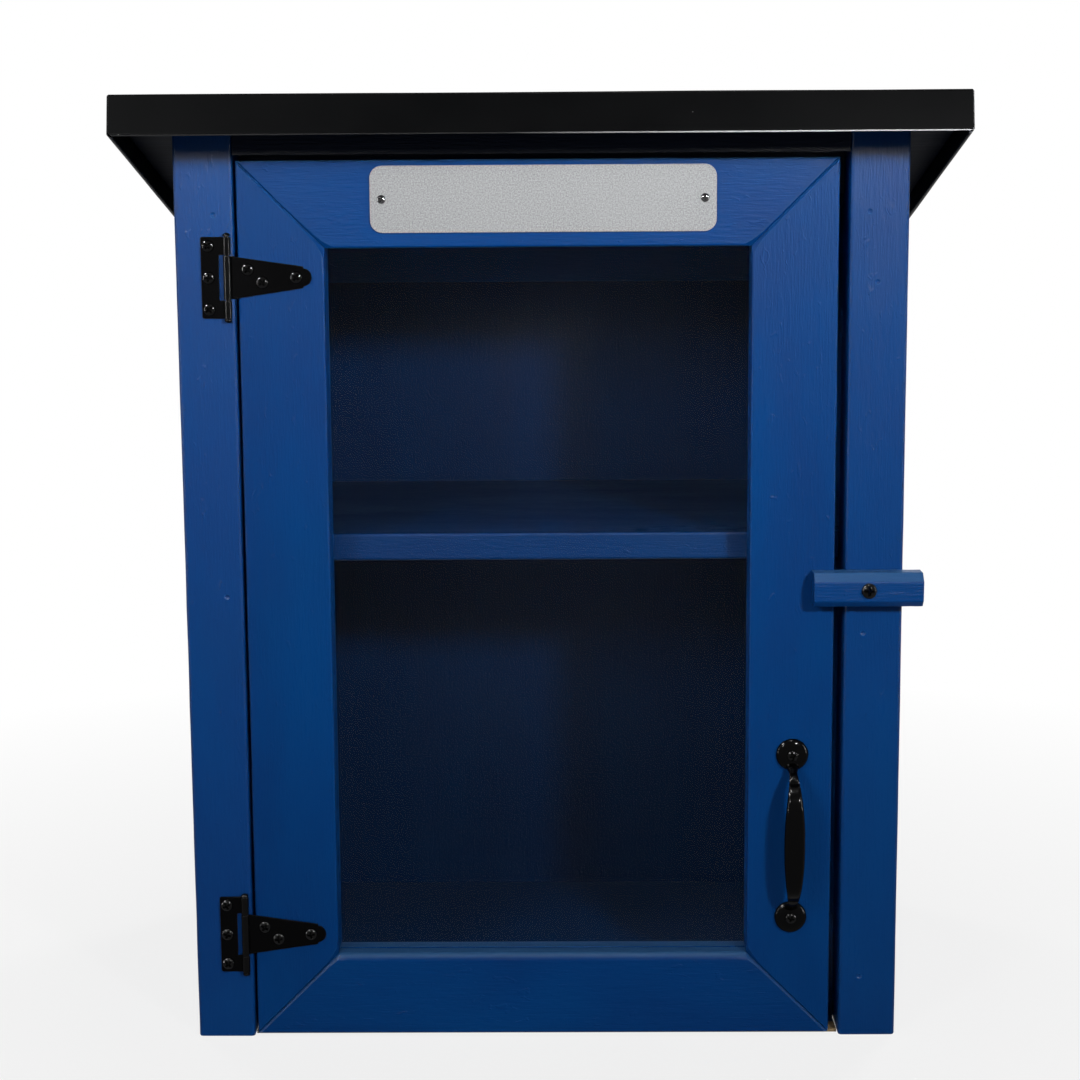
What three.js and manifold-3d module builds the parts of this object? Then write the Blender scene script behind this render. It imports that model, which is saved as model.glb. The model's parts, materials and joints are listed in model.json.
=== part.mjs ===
import Module from 'manifold-3d';
import * as THREE from 'three';
import { mergeVertices } from 'three/addons/utils/BufferGeometryUtils.js';

// A wooden book exchange box with a shed roof and a glazed door hung on its left side.
// Lengths are millimetres. X runs to the right, Y to the back and Z up.
// The origin is at ground level, under the middle of the roof.

const wasm = await Module();
wasm.setup();

// Fits shared by all pieces
const seatGap = 0.3;
const pinClearance = 0.25;
const cutOverrun = 6;

// Case of four corner posts with panels between them
const caseWidth = 444.5;
const caseDepth = 300;
const postWidth = 36;
const postEdgeRadius = 2.5;
const postEndEase = 1.6;
const panelThickness = 12;
const panelInset = 4;
const floorThickness = 12;
const floorLipThickness = 1.8;
const floorLipSetback = 6;
const headRailFace = 12.2;
const headStopDrop = 22;
const railThickness = 16;
const backRailHeight = 36;

// Shelf on two cleats
const lowerRoomHeight = 291.7;
const shelfThickness = 17.3;
const shelfSetback = 30;
const shelfEdgeEase = 1.2;
const cleatWidth = 18;
const cleatHeight = 18;

// Roof deck under a folded sheet cap
const roofPitch = THREE.MathUtils.degToRad(12.8);
const roofSideOverhang = 27.4;
const roofFrontOverhang = 60;
const roofBackOverhang = 30;
const deckThickness = 8;
const capThickness = 1;
const capSkirt = 24.3;
const hemHeight = 7;
const hemThickness = 2.6;
const roofScrewShares = [0.14, 0.5, 0.86];

// Door frame, mitred at its corners
const doorHeight = 551.1;
const doorThickness = 27;
const doorHingeGap = 1.9;
const doorLatchGap = 6.3;
const doorHeadGap = 3.4;
const doorFloorGap = 0.3;
const doorStopGap = 1.5;
const memberWidth = 52.6;
const outerEdgeRadius = 1.5;
const innerEdgeRadius = 1.6;
const sillEdgeRadius = 5;

// Pane and the beads that hold it in its rebate
const rebateWidth = 9;
const rebateDepth = 15;
const paneThickness = 3;
const paneEdgeGap = 1;
const beadChamfer = 2;

// Strap hinges
const hingeAxisOffset = 6;
const hingeTopInset = 69.9;
const hingeBottomInset = 66.6;
const hingeSheet = 1.1;
const knuckleRadius = 2.4;
const hingePinRadius = 1.3;
const pinHeadRadius = 2.5;
const pinHeadHeight = 2.2;
const leafReach = 16.1;
const leafNotchReach = 5.2;
const strapRootHeight = 26.6;
const strapNeckHeight = 13.2;
const strapNeckReach = 45.7;
const strapTipShoulder = 1.3;
const leafScrewReach = 11.6;
const leafScrewSpacing = 19.2;
const leafEndMargin = 5.5;
const leafHeight = 2 * (leafScrewSpacing + leafEndMargin);
const strapScrewPlaces = { reachShares: [0.268, 0.459, 0.908], heightShares: [0.185, -0.11, 0] };

// Sign plate on the door's top rail
const signWidth = 209.2;
const signHeight = 40.2;
const signThickness = 1.2;
const signCornerRadius = 7.4;
const signOffset = 3.4;
const signRise = 2.8;
const signScrewInset = 7;

// Pull handle
const handleEdgeDistance = 25;
const handleHeight = 129.8;
const handleCentres = 105.4;
const rosetteRadius = 10.1;
const rosetteThickness = 3.6;
const rosetteEdge = 1.2;
const gripRootInset = 7.6;
const gripRise = 21;
const gripArc = THREE.MathUtils.degToRad(64);
const gripNeckWidth = 6.2;
const gripWidth = 12.6;
const gripNeckThickness = 4.8;
const gripThickness = 6.6;
const gripTaperPower = 3;

// Turn button
const buttonLength = 67.2;
const buttonWidth = 21;
const buttonThickness = 16;
const buttonTopChamfer = 5.2;
const buttonBottomChamfer = 3.7;
const buttonEndEase = 1.2;
const buttonRunningGap = 0.5;
const buttonPivotInset = 13;
const buttonHeight = 291.3;

// Fasteners
const hingeScrew = { headRadius: 3.7, headHeight: 1.9, shankRadius: 1.6, shankLength: 15 };
const signScrew = { headRadius: 2.6, headHeight: 1.4, shankRadius: 1.2, shankLength: 11 };
const handleScrew = { headRadius: 3.4, headHeight: 1.9, shankRadius: 1.7, shankLength: 18 };
const buttonScrew = { headRadius: 4.7, headHeight: 2.9, shankRadius: 2.2, shankLength: 40 };
const roofScrew = { headRadius: 3.2, headHeight: 1.8, shankRadius: 1.3, shankLength: 14 };

// Facets on round forms
const screwSides = 12;
const roundSides = 20;
const cornerSteps = 4;
const gripSides = 12;
const gripSteps = 20;

// Places worked out from the sizes above
const caseHalfWidth = caseWidth / 2;
const postInnerX = caseHalfWidth - postWidth;
const roofWidth = caseWidth + 2 * roofSideOverhang;
const overallDepth = caseDepth + roofFrontOverhang + roofBackOverhang;
const roofLength = (overallDepth - capSkirt * Math.sin(roofPitch)) / Math.cos(roofPitch);
const roofEdgeY = capSkirt * Math.sin(roofPitch) - overallDepth / 2;
const frontY = roofFrontOverhang - overallDepth / 2;
const backY = frontY + caseDepth;
const backPanelInnerY = backY - panelInset - panelThickness;
const panelInnerX = caseHalfWidth - panelInset - panelThickness;
const stopY = frontY + doorThickness + doorStopGap;
const doorLeft = doorHingeGap - postInnerX;
const doorRight = postInnerX - doorLatchGap;
const doorBottom = floorLipThickness + doorFloorGap;
const doorTop = doorBottom + doorHeight;
const openLeft = doorLeft + memberWidth;
const openRight = doorRight - memberWidth;
const openBottom = doorBottom + memberWidth;
const openTop = doorTop - memberWidth;
const headRailTop = doorTop + doorHeadGap + headRailFace;
const deckDepth = capThickness + seatGap + deckThickness;
const frameDepth = deckDepth + seatGap;
const roofEdgeRise = frameDepth / Math.cos(roofPitch) + (frontY - roofEdgeY) * Math.tan(roofPitch);
const overallHeight = headRailTop + roofEdgeRise;
const shelfBottom = floorThickness + lowerRoomHeight;
const hingeAxisX = doorLeft - hingeAxisOffset;
const hingeAxisZ = seatGap + knuckleRadius;
const knuckleSplit = strapRootHeight / 2 + seatGap;

// Height of the plane that lies the given depth under the roof's top face
function roofHeightAt(y, depth) {
  return overallHeight - (y - roofEdgeY) * Math.tan(roofPitch) - depth / Math.cos(roofPitch);
}

// Solid helpers

function solidOf(geometry) {
  const bare = geometry.clone();
  bare.deleteAttribute('normal');
  bare.deleteAttribute('uv');
  const merged = mergeVertices(bare);
  const triVerts = Uint32Array.from(merged.index.array);
  const vertProperties = Float32Array.from(merged.attributes.position.array);
  return new wasm.Manifold(new wasm.Mesh({ numProp: 3, vertProperties, triVerts }));
}

function geometryOf(solid) {
  const mesh = solid.getMesh();
  const geometry = new THREE.BufferGeometry();
  geometry.setAttribute('position', new THREE.BufferAttribute(Float32Array.from(mesh.vertProperties), 3));
  geometry.setIndex(Array.from(mesh.triVerts));
  geometry.computeVertexNormals();
  return geometry;
}

function cut(geometry, ...tools) {
  return geometryOf(tools.reduce((body, tool) => body.subtract(solidOf(tool)), solidOf(geometry)));
}

function join(geometry, ...others) {
  return geometryOf(others.reduce((body, other) => body.add(solidOf(other)), solidOf(geometry)));
}

function common(geometry, region) {
  return geometryOf(solidOf(geometry).intersect(solidOf(region)));
}

function block(low, high) {
  const size = high.map((value, axis) => value - low[axis]);
  const middle = low.map((value, axis) => value + size[axis] / 2);
  return new THREE.BoxGeometry(...size).translate(...middle);
}

function polygon(points) {
  return new THREE.Shape(points.map(([x, y]) => new THREE.Vector2(x, y)));
}

function prism(shape, depth) {
  return new THREE.ExtrudeGeometry(shape, { depth, bevelEnabled: false, curveSegments: cornerSteps });
}

// Outline with rounded corners, centred on the origin
function roundedRectangle(width, height, radius) {
  const x = width / 2;
  const y = height / 2;
  const shape = new THREE.Shape();
  shape.moveTo(radius - x, -y);
  shape.lineTo(x - radius, -y);
  shape.absarc(x - radius, radius - y, radius, -Math.PI / 2, 0);
  shape.lineTo(x, y - radius);
  shape.absarc(x - radius, y - radius, radius, 0, Math.PI / 2);
  shape.lineTo(radius - x, y);
  shape.absarc(radius - x, y - radius, radius, Math.PI / 2, Math.PI);
  shape.lineTo(-x, radius - y);
  shape.absarc(radius - x, radius - y, radius, Math.PI, 3 * Math.PI / 2);
  return shape;
}

// Extrusion whose end rims are eased, from zero to the given height
function easedPrism(shape, height, ease) {
  const geometry = new THREE.ExtrudeGeometry(shape, {
    depth: height - 2 * ease,
    bevelThickness: ease,
    bevelSize: ease,
    bevelOffset: -ease,
    bevelSegments: 1,
    curveSegments: cornerSteps,
  });
  return geometry.translate(0, 0, ease);
}

// Turns an extrusion so that it runs along X, with its outline in the YZ plane
const alongX = new THREE.Matrix4().makeBasis(
  new THREE.Vector3(0, 1, 0),
  new THREE.Vector3(0, 0, 1),
  new THREE.Vector3(1, 0, 0),
);

function runAlongX(shape, from, to) {
  return prism(shape, to - from).applyMatrix4(alongX).translate(from, 0, 0);
}

// A round rod along Z
function rod(radius, from, to, sides) {
  const geometry = new THREE.CylinderGeometry(radius, radius, to - from, sides);
  return geometry.rotateX(Math.PI / 2).translate(0, 0, (from + to) / 2);
}

// A screw along Z: its head sits on the plane at zero and its shank points down
function screw({ headRadius, headHeight, shankRadius, shankLength }) {
  const rim = headHeight / 3;
  const profile = [
    new THREE.Vector2(0, -shankLength),
    new THREE.Vector2(shankRadius, -shankLength + 2 * shankRadius),
    new THREE.Vector2(shankRadius, 0),
    new THREE.Vector2(headRadius, 0),
    new THREE.Vector2(headRadius, rim),
    new THREE.Vector2(headRadius * Math.SQRT1_2, rim + (headHeight - rim) * Math.SQRT1_2),
    new THREE.Vector2(0, headHeight),
  ];
  return new THREE.LatheGeometry(profile, screwSides).rotateX(Math.PI / 2);
}

// The hole that a screw's shank goes through, at the same place as the screw
function screwHole({ shankRadius, shankLength }, place) {
  const geometry = rod(shankRadius + seatGap, -shankLength - seatGap, cutOverrun, screwSides);
  return geometry.applyMatrix4(place);
}

function at(x, y, z) {
  return new THREE.Matrix4().makeTranslation(x, y, z);
}

// Finishes
const finishes = {
  bluePaint: { color: 0x17497f, roughness: 0.45, metalness: 0 },
  rawWood: { color: 0xa5814f, roughness: 0.8, metalness: 0 },
  darkBoard: { color: 0x1d2433, roughness: 0.7, metalness: 0 },
  roofSheet: { color: 0x161616, roughness: 0.4, metalness: 0.2 },
  blackSteel: { color: 0x121213, roughness: 0.45, metalness: 0.5 },
  glossBlack: { color: 0x0b0b0c, roughness: 0.2, metalness: 0.5 },
  satinPlate: { color: 0xc4c6c8, roughness: 0.4, metalness: 0.7 },
  clearPane: { color: 0xdfe8ec, roughness: 0.05, metalness: 0, transparent: true, opacity: 0.2 },
};

const exchangeBox = new THREE.Group();

// Roof pieces lie in a frame on the roof's top front edge, with Y running down the slope
const roof = new THREE.Group();
roof.position.set(0, roofEdgeY, overallHeight);
roof.rotation.x = -roofPitch;
exchangeBox.add(roof);

// Pieces on the front lie in a frame on the posts' front faces, with Y up and Z out
const front = new THREE.Group();
front.position.set(0, frontY, 0);
front.rotation.x = Math.PI / 2;
exchangeBox.add(front);

function addPiece(group, name, geometry, finish) {
  const mesh = new THREE.Mesh(geometry, new THREE.MeshStandardMaterial(finish));
  mesh.name = name;
  group.add(mesh);
}

function addScrew(group, name, size, place, finish) {
  addPiece(group, name, screw(size).applyMatrix4(place), finish);
}

// Everything under the roof deck is trimmed to this space
const trimFrontY = frontY - cutOverrun;
const trimBackY = backY + cutOverrun;
const underRoof = runAlongX(
  polygon([
    [trimFrontY, -cutOverrun],
    [trimBackY, -cutOverrun],
    [trimBackY, roofHeightAt(trimBackY, frameDepth)],
    [trimFrontY, roofHeightAt(trimFrontY, frameDepth)],
  ]),
  -caseHalfWidth - cutOverrun,
  caseHalfWidth + cutOverrun,
);

// Screw places in the front frame
const screwSeat = seatGap + hingeSheet + seatGap;
const hingeHeights = {
  upper: doorTop - hingeTopInset,
  lower: doorBottom + hingeBottomInset,
};

function leafScrewPlaces(height) {
  const x = hingeAxisX - leafScrewReach;
  return [-1, 0, 1].map((step) => at(x, height + step * leafScrewSpacing, screwSeat));
}

function strapScrewPlacesAt(height) {
  return strapScrewPlaces.reachShares.map((share, index) => {
    const x = hingeAxisX + share * strapNeckReach;
    const y = height + strapScrewPlaces.heightShares[index] * strapRootHeight;
    return at(x, y, screwSeat);
  });
}

const allLeafPlaces = Object.values(hingeHeights).flatMap(leafScrewPlaces);
const allStrapPlaces = Object.values(hingeHeights).flatMap(strapScrewPlacesAt);

const signX = (doorLeft + doorRight) / 2 + signOffset;
const signY = doorTop - memberWidth / 2 + signRise;
const signScrewX = signWidth / 2 - signScrewInset;
const signSeat = seatGap + signThickness + seatGap;
const signPlaces = [-1, 1].map((side) => at(signX + side * signScrewX, signY, signSeat));

const handleX = doorRight - handleEdgeDistance;
const handleY = doorBottom + handleHeight;
const handlePlaces = [1, -1].map((side) => {
  return at(handleX, handleY + side * handleCentres / 2, seatGap + rosetteThickness + seatGap);
});

const buttonX = postInnerX + buttonPivotInset;
const buttonFace = buttonRunningGap + buttonThickness;
const buttonPlace = at(buttonX, buttonHeight, buttonFace + seatGap);

// Corner posts

function postGeometry(side, y) {
  const outline = roundedRectangle(postWidth, postWidth, postEdgeRadius);
  const tall = easedPrism(outline, overallHeight, postEndEase);
  tall.translate(side * (caseHalfWidth - postWidth / 2), y, 0);
  return common(tall, underRoof);
}

// A front-frame shape taken into the frame of the whole box
function intoBox(geometry) {
  front.updateMatrix();
  return geometry.applyMatrix4(front.matrix);
}

const frontPostY = frontY + postWidth / 2;
const backPostY = backY - postWidth / 2;
const leafHoles = allLeafPlaces.map((place) => intoBox(screwHole(hingeScrew, place)));
const buttonHole = intoBox(screwHole(buttonScrew, buttonPlace));

addPiece(exchangeBox, 'post_front_left', cut(postGeometry(-1, frontPostY), ...leafHoles), finishes.bluePaint);
addPiece(exchangeBox, 'post_front_right', cut(postGeometry(1, frontPostY), buttonHole), finishes.bluePaint);
addPiece(exchangeBox, 'post_back_left', postGeometry(-1, backPostY), finishes.bluePaint);
addPiece(exchangeBox, 'post_back_right', postGeometry(1, backPostY), finishes.bluePaint);

// Side and back panels

for (const [name, side] of [['side_panel_left', -1], ['side_panel_right', 1]]) {
  const nearX = Math.min(side * panelInnerX, side * (panelInnerX + panelThickness));
  const panel = block(
    [nearX, frontY + postWidth + seatGap, 0],
    [nearX + panelThickness, backY - postWidth - seatGap, overallHeight],
  );
  addPiece(exchangeBox, name, common(panel, underRoof), finishes.bluePaint);
}

const betweenPosts = postInnerX - seatGap;
const backPanel = block(
  [-betweenPosts, backPanelInnerY, 0],
  [betweenPosts, backPanelInnerY + panelThickness, overallHeight],
);
addPiece(exchangeBox, 'back_panel', common(backPanel, underRoof), finishes.bluePaint);

// Boards notched round the four posts

function notchedOutline(frontEdge) {
  const backEdge = backPanelInnerY - seatGap;
  const wide = panelInnerX - seatGap;
  const frontNotch = frontY + postWidth + seatGap;
  const backNotch = backY - postWidth - seatGap;
  const rightHalf = [
    [betweenPosts, frontEdge],
    [betweenPosts, frontNotch],
    [wide, frontNotch],
    [wide, backNotch],
    [betweenPosts, backNotch],
    [betweenPosts, backEdge],
  ];
  const leftHalf = rightHalf.map(([x, y]) => [-x, y]).reverse();
  return polygon([...rightHalf, ...leftHalf]);
}

const floorFront = frontY + floorLipSetback;
const floorBoard = prism(notchedOutline(floorFront), floorThickness);
const floorRebate = block(
  [-caseHalfWidth, floorFront - cutOverrun, floorLipThickness],
  [caseHalfWidth, stopY, floorThickness + cutOverrun],
);
addPiece(exchangeBox, 'floor_panel', cut(floorBoard, floorRebate), finishes.rawWood);

const shelfBoard = easedPrism(notchedOutline(frontY + shelfSetback), shelfThickness, shelfEdgeEase);
addPiece(exchangeBox, 'shelf', shelfBoard.translate(0, 0, shelfBottom), finishes.bluePaint);

for (const [name, side] of [['shelf_cleat_left', -1], ['shelf_cleat_right', 1]]) {
  const wallX = side * (panelInnerX - seatGap);
  const innerX = side * (panelInnerX - seatGap - cleatWidth);
  const cleat = block(
    [Math.min(wallX, innerX), frontY + postWidth + seatGap, shelfBottom - seatGap - cleatHeight],
    [Math.max(wallX, innerX), backY - postWidth - seatGap, shelfBottom - seatGap],
  );
  addPiece(exchangeBox, name, cleat, finishes.bluePaint);
}

// Head rail over the door, with a stop that reaches down behind it
const headFaceBottom = doorTop + doorHeadGap;
const headRail = runAlongX(
  polygon([
    [frontY, headFaceBottom],
    [stopY, headFaceBottom],
    [stopY, doorTop - headStopDrop],
    [stopY + railThickness, doorTop - headStopDrop],
    [stopY + railThickness, overallHeight],
    [frontY, overallHeight],
  ]),
  -betweenPosts,
  betweenPosts,
);
addPiece(exchangeBox, 'head_rail', common(headRail, underRoof), finishes.bluePaint);

const backRailY = backPanelInnerY - seatGap;
const backRail = block(
  [-betweenPosts, backRailY - railThickness, roofHeightAt(backRailY, frameDepth) - backRailHeight],
  [betweenPosts, backRailY, overallHeight],
);
addPiece(exchangeBox, 'back_rail', common(backRail, underRoof), finishes.bluePaint);

// Roof

const roofHalfWidth = roofWidth / 2;
const deckMiddle = -(capThickness + seatGap + deckThickness / 2);
const roofPlaces = roofScrewShares.flatMap((share) => [-1, 1].map((side) => {
  const turn = new THREE.Matrix4().makeRotationY(side * Math.PI / 2);
  return at(side * (roofHalfWidth + seatGap), share * roofLength, deckMiddle).multiply(turn);
}));
const roofHoles = roofPlaces.map((place) => screwHole(roofScrew, place));

function insideCap(wall, low, high) {
  return block(
    [wall - roofHalfWidth, wall, low],
    [roofHalfWidth - wall, roofLength - wall, high],
  );
}

const hemTop = hemHeight - capSkirt;
const capBlock = block([-roofHalfWidth, 0, -capSkirt], [roofHalfWidth, roofLength, 0]);
const capHollow = insideCap(capThickness, hemTop, -capThickness);
const hemHollow = insideCap(hemThickness, -capSkirt - cutOverrun, hemTop + capThickness);
addPiece(roof, 'roof_cap', cut(capBlock, capHollow, hemHollow, ...roofHoles), finishes.roofSheet);

const deck = insideCap(capThickness + seatGap, -deckDepth, -capThickness - seatGap);
addPiece(roof, 'roof_deck', cut(deck, ...roofHoles), finishes.darkBoard);

roofPlaces.forEach((place, index) => {
  addScrew(roof, `roof_screw_${index + 1}`, roofScrew, place, finishes.blackSteel);
});

// Door frame

function memberProfile(innerRadius) {
  const shape = new THREE.Shape();
  shape.moveTo(outerEdgeRadius, 0);
  shape.absarc(outerEdgeRadius, -outerEdgeRadius, outerEdgeRadius, Math.PI / 2, Math.PI);
  shape.lineTo(0, -doorThickness);
  shape.lineTo(memberWidth - rebateWidth, -doorThickness);
  shape.lineTo(memberWidth - rebateWidth, rebateDepth - doorThickness);
  shape.lineTo(memberWidth, rebateDepth - doorThickness);
  shape.absarc(memberWidth - innerRadius, -innerRadius, innerRadius, 0, Math.PI / 2);
  return shape;
}

// A member runs along X with its outer edge at zero, mitred at both ends
function doorMember(length, innerRadius) {
  const mitreShift = seatGap * Math.SQRT1_2;
  const reach = memberWidth + cutOverrun;
  const trim = prism(
    polygon([
      [mitreShift - cutOverrun, -cutOverrun],
      [length - mitreShift + cutOverrun, -cutOverrun],
      [length - mitreShift - reach, reach],
      [mitreShift + reach, reach],
    ]),
    doorThickness + 2 * cutOverrun,
  );
  trim.translate(0, 0, -doorThickness - cutOverrun);
  return common(runAlongX(memberProfile(innerRadius), 0, length), trim);
}

const doorWidth = doorRight - doorLeft;
const strapHoles = allStrapPlaces.map((place) => screwHole(hingeScrew, place));
const handleHoles = handlePlaces.map((place) => screwHole(handleScrew, place));
const signHoles = signPlaces.map((place) => screwHole(signScrew, place));
const members = [
  { name: 'door_rail_bottom', length: doorWidth, start: [doorLeft, doorBottom], holes: [] },
  { name: 'door_stile_right', length: doorHeight, start: [doorRight, doorBottom], holes: handleHoles },
  { name: 'door_rail_top', length: doorWidth, start: [doorRight, doorTop], holes: signHoles },
  { name: 'door_stile_left', length: doorHeight, start: [doorLeft, doorTop], holes: strapHoles },
];
for (const [turns, { name, length, start, holes }] of members.entries()) {
  const innerRadius = turns === 0 ? sillEdgeRadius : innerEdgeRadius;
  const member = doorMember(length, innerRadius).rotateZ(turns * Math.PI / 2).translate(...start, 0);
  addPiece(front, name, cut(member, ...holes), finishes.bluePaint);
}

// Pane in the rebate, held by four beads
const paneGrip = rebateWidth - paneEdgeGap;
const paneFace = rebateDepth - doorThickness - seatGap;
const pane = block(
  [openLeft - paneGrip, openBottom - paneGrip, paneFace - paneThickness],
  [openRight + paneGrip, openTop + paneGrip, paneFace],
);
addPiece(front, 'pane', pane, finishes.clearPane);

const beadWidth = rebateWidth - 2 * seatGap;
const beadFace = paneFace - paneThickness - seatGap;
const beadProfile = polygon([
  [0, beadFace],
  [0, -doorThickness],
  [beadWidth - beadChamfer, -doorThickness],
  [beadWidth, beadChamfer - doorThickness],
  [beadWidth, beadFace],
]);
const rebateEdge = rebateWidth - seatGap;
const rebateLeft = openLeft - rebateEdge;
const rebateRight = openRight + rebateEdge;
const rebateBottom = openBottom - rebateEdge;
const rebateTop = openTop + rebateEdge;
const beadStart = beadWidth + seatGap;
const beadSpanX = rebateRight - rebateLeft;
const beadSpanY = rebateTop - rebateBottom - 2 * beadStart;
const beads = [
  { name: 'pane_bead_bottom', length: beadSpanX, start: [rebateLeft, rebateBottom] },
  { name: 'pane_bead_right', length: beadSpanY, start: [rebateRight, rebateBottom + beadStart] },
  { name: 'pane_bead_top', length: beadSpanX, start: [rebateRight, rebateTop] },
  { name: 'pane_bead_left', length: beadSpanY, start: [rebateLeft, rebateTop - beadStart] },
];
for (const [turns, { name, length, start }] of beads.entries()) {
  const bead = runAlongX(beadProfile, 0, length).rotateZ(turns * Math.PI / 2);
  addPiece(front, name, bead.translate(...start, 0), finishes.bluePaint);
}

// Strap hinges

// A rod along the hinge axis, between two heights measured from the hinge's middle
function axisRod(radius, from, to, height) {
  const geometry = rod(radius, from, to, roundSides).rotateX(-Math.PI / 2);
  return geometry.translate(hingeAxisX, height, hingeAxisZ);
}

function hingePlate(shape, height) {
  return prism(shape, hingeSheet).translate(hingeAxisX, height, seatGap);
}

const leafHalf = leafHeight / 2;
const leafOutline = polygon([
  [-leafReach, -leafHalf],
  [0, -leafHalf],
  [0, -knuckleSplit],
  [-leafNotchReach, -knuckleSplit],
  [-leafNotchReach, knuckleSplit],
  [0, knuckleSplit],
  [0, leafHalf],
  [-leafReach, leafHalf],
]);

const strapTipRadius = strapNeckHeight / 2 - strapTipShoulder;
const strapOutline = new THREE.Shape();
strapOutline.moveTo(0, -strapRootHeight / 2);
strapOutline.lineTo(strapNeckReach, -strapNeckHeight / 2);
strapOutline.absarc(strapNeckReach, 0, strapTipRadius, -Math.PI / 2, Math.PI / 2);
strapOutline.lineTo(strapNeckReach, strapNeckHeight / 2);
strapOutline.lineTo(0, strapRootHeight / 2);

for (const [name, height] of Object.entries(hingeHeights)) {
  const bore = axisRod(hingePinRadius + pinClearance, -leafHeight, leafHeight, height);

  const leafKnuckles = [
    axisRod(knuckleRadius, -leafHalf, -knuckleSplit, height),
    axisRod(knuckleRadius, knuckleSplit, leafHalf, height),
  ];
  const leafPlaces = leafScrewPlaces(height);
  const leafTools = leafPlaces.map((place) => screwHole(hingeScrew, place));
  const leaf = cut(join(hingePlate(leafOutline, height), ...leafKnuckles), bore, ...leafTools);
  addPiece(front, `hinge_leaf_${name}`, leaf, finishes.blackSteel);

  const strapKnuckle = axisRod(knuckleRadius, -strapRootHeight / 2, strapRootHeight / 2, height);
  const strapPlaces = strapScrewPlacesAt(height);
  const strapTools = strapPlaces.map((place) => screwHole(hingeScrew, place));
  const strap = cut(join(hingePlate(strapOutline, height), strapKnuckle), bore, ...strapTools);
  addPiece(front, `hinge_strap_${name}`, strap, finishes.blackSteel);

  const pinEnd = leafHalf + seatGap;
  const pinDome = [
    new THREE.Vector2(0, -pinEnd - pinHeadHeight),
    new THREE.Vector2(pinHeadRadius * Math.SQRT1_2, -pinEnd - pinHeadHeight * Math.SQRT1_2),
    new THREE.Vector2(pinHeadRadius, -pinEnd),
    new THREE.Vector2(hingePinRadius, -pinEnd),
  ];
  const pinTop = pinDome.map((point) => new THREE.Vector2(point.x, -point.y)).reverse();
  const pin = new THREE.LatheGeometry([...pinDome, ...pinTop], screwSides);
  pin.translate(hingeAxisX, height, hingeAxisZ);
  addPiece(front, `hinge_pin_${name}`, pin, finishes.blackSteel);

  leafPlaces.forEach((place, index) => {
    addScrew(front, `leaf_screw_${name}_${index + 1}`, hingeScrew, place, finishes.blackSteel);
  });
  strapPlaces.forEach((place, index) => {
    addScrew(front, `strap_screw_${name}_${index + 1}`, hingeScrew, place, finishes.blackSteel);
  });
}

// Sign plate

const plate = prism(roundedRectangle(signWidth, signHeight, signCornerRadius), signThickness);
plate.translate(signX, signY, seatGap);
addPiece(front, 'sign_plate', cut(plate, ...signHoles), finishes.satinPlate);
addScrew(front, 'sign_screw_left', signScrew, signPlaces[0], finishes.blackSteel);
addScrew(front, 'sign_screw_right', signScrew, signPlaces[1], finishes.blackSteel);

// Pull handle, whose grip is a tapered bar bent over an arc between two rosettes

function gripGeometry() {
  const span = handleCentres / 2 - gripRootInset;
  const endRise = Math.cos(gripArc);
  const geometry = new THREE.CylinderGeometry(1, 1, 1, gripSides, gripSteps);
  const points = geometry.attributes.position;
  for (let index = 0; index < points.count; index += 1) {
    const share = 2 * points.getY(index);
    const angle = share * gripArc;
    const y = span * Math.sin(angle) / Math.sin(gripArc);
    const z = gripRise * (Math.cos(angle) - endRise) / (1 - endRise);
    const slopeY = span * Math.cos(angle) / Math.sin(gripArc);
    const slopeZ = -gripRise * Math.sin(angle) / (1 - endRise);
    const steep = Math.hypot(slopeY, slopeZ);
    const taper = Math.abs(share) ** gripTaperPower;
    const halfWidth = (gripWidth + (gripNeckWidth - gripWidth) * taper) / 2;
    const halfThickness = (gripThickness + (gripNeckThickness - gripThickness) * taper) / 2;
    const across = points.getX(index) * halfWidth;
    const outward = points.getZ(index) * halfThickness;
    points.setXYZ(index, across, y - outward * slopeZ / steep, z + outward * slopeY / steep);
  }
  return geometry;
}

function rosetteGeometry(side) {
  const dome = rosetteThickness - rosetteEdge;
  const profile = [
    new THREE.Vector2(0, 0),
    new THREE.Vector2(rosetteRadius, 0),
    new THREE.Vector2(rosetteRadius, rosetteEdge),
    new THREE.Vector2(rosetteRadius - dome / 3, rosetteEdge + dome * Math.SQRT1_2),
    new THREE.Vector2(rosetteRadius - dome, rosetteThickness),
    new THREE.Vector2(0, rosetteThickness),
  ];
  const geometry = new THREE.LatheGeometry(profile, roundSides).rotateX(Math.PI / 2);
  return geometry.translate(0, side * handleCentres / 2, 0);
}

const gripStart = rosetteThickness / 2;
const handleBody = join(rosetteGeometry(1), rosetteGeometry(-1), gripGeometry().translate(0, 0, gripStart));
handleBody.translate(handleX, handleY, seatGap);
addPiece(front, 'pull_handle', cut(handleBody, ...handleHoles), finishes.glossBlack);
addScrew(front, 'handle_screw_upper', handleScrew, handlePlaces[0], finishes.blackSteel);
addScrew(front, 'handle_screw_lower', handleScrew, handlePlaces[1], finishes.blackSteel);

// Turn button that holds the door shut

const buttonHalf = buttonWidth / 2;
const buttonProfile = polygon([
  [-buttonHalf, buttonRunningGap],
  [buttonHalf, buttonRunningGap],
  [buttonHalf, buttonFace - buttonTopChamfer],
  [buttonHalf - buttonTopChamfer, buttonFace],
  [buttonBottomChamfer - buttonHalf, buttonFace],
  [-buttonHalf, buttonFace - buttonBottomChamfer],
]);
const buttonBar = easedPrism(buttonProfile, buttonLength, buttonEndEase).applyMatrix4(alongX);
buttonBar.translate(buttonX - buttonLength / 2, buttonHeight, 0);
addPiece(front, 'turn_button', cut(buttonBar, screwHole(buttonScrew, buttonPlace)), finishes.bluePaint);
addScrew(front, 'turn_button_screw', buttonScrew, buttonPlace, finishes.blackSteel);

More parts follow.
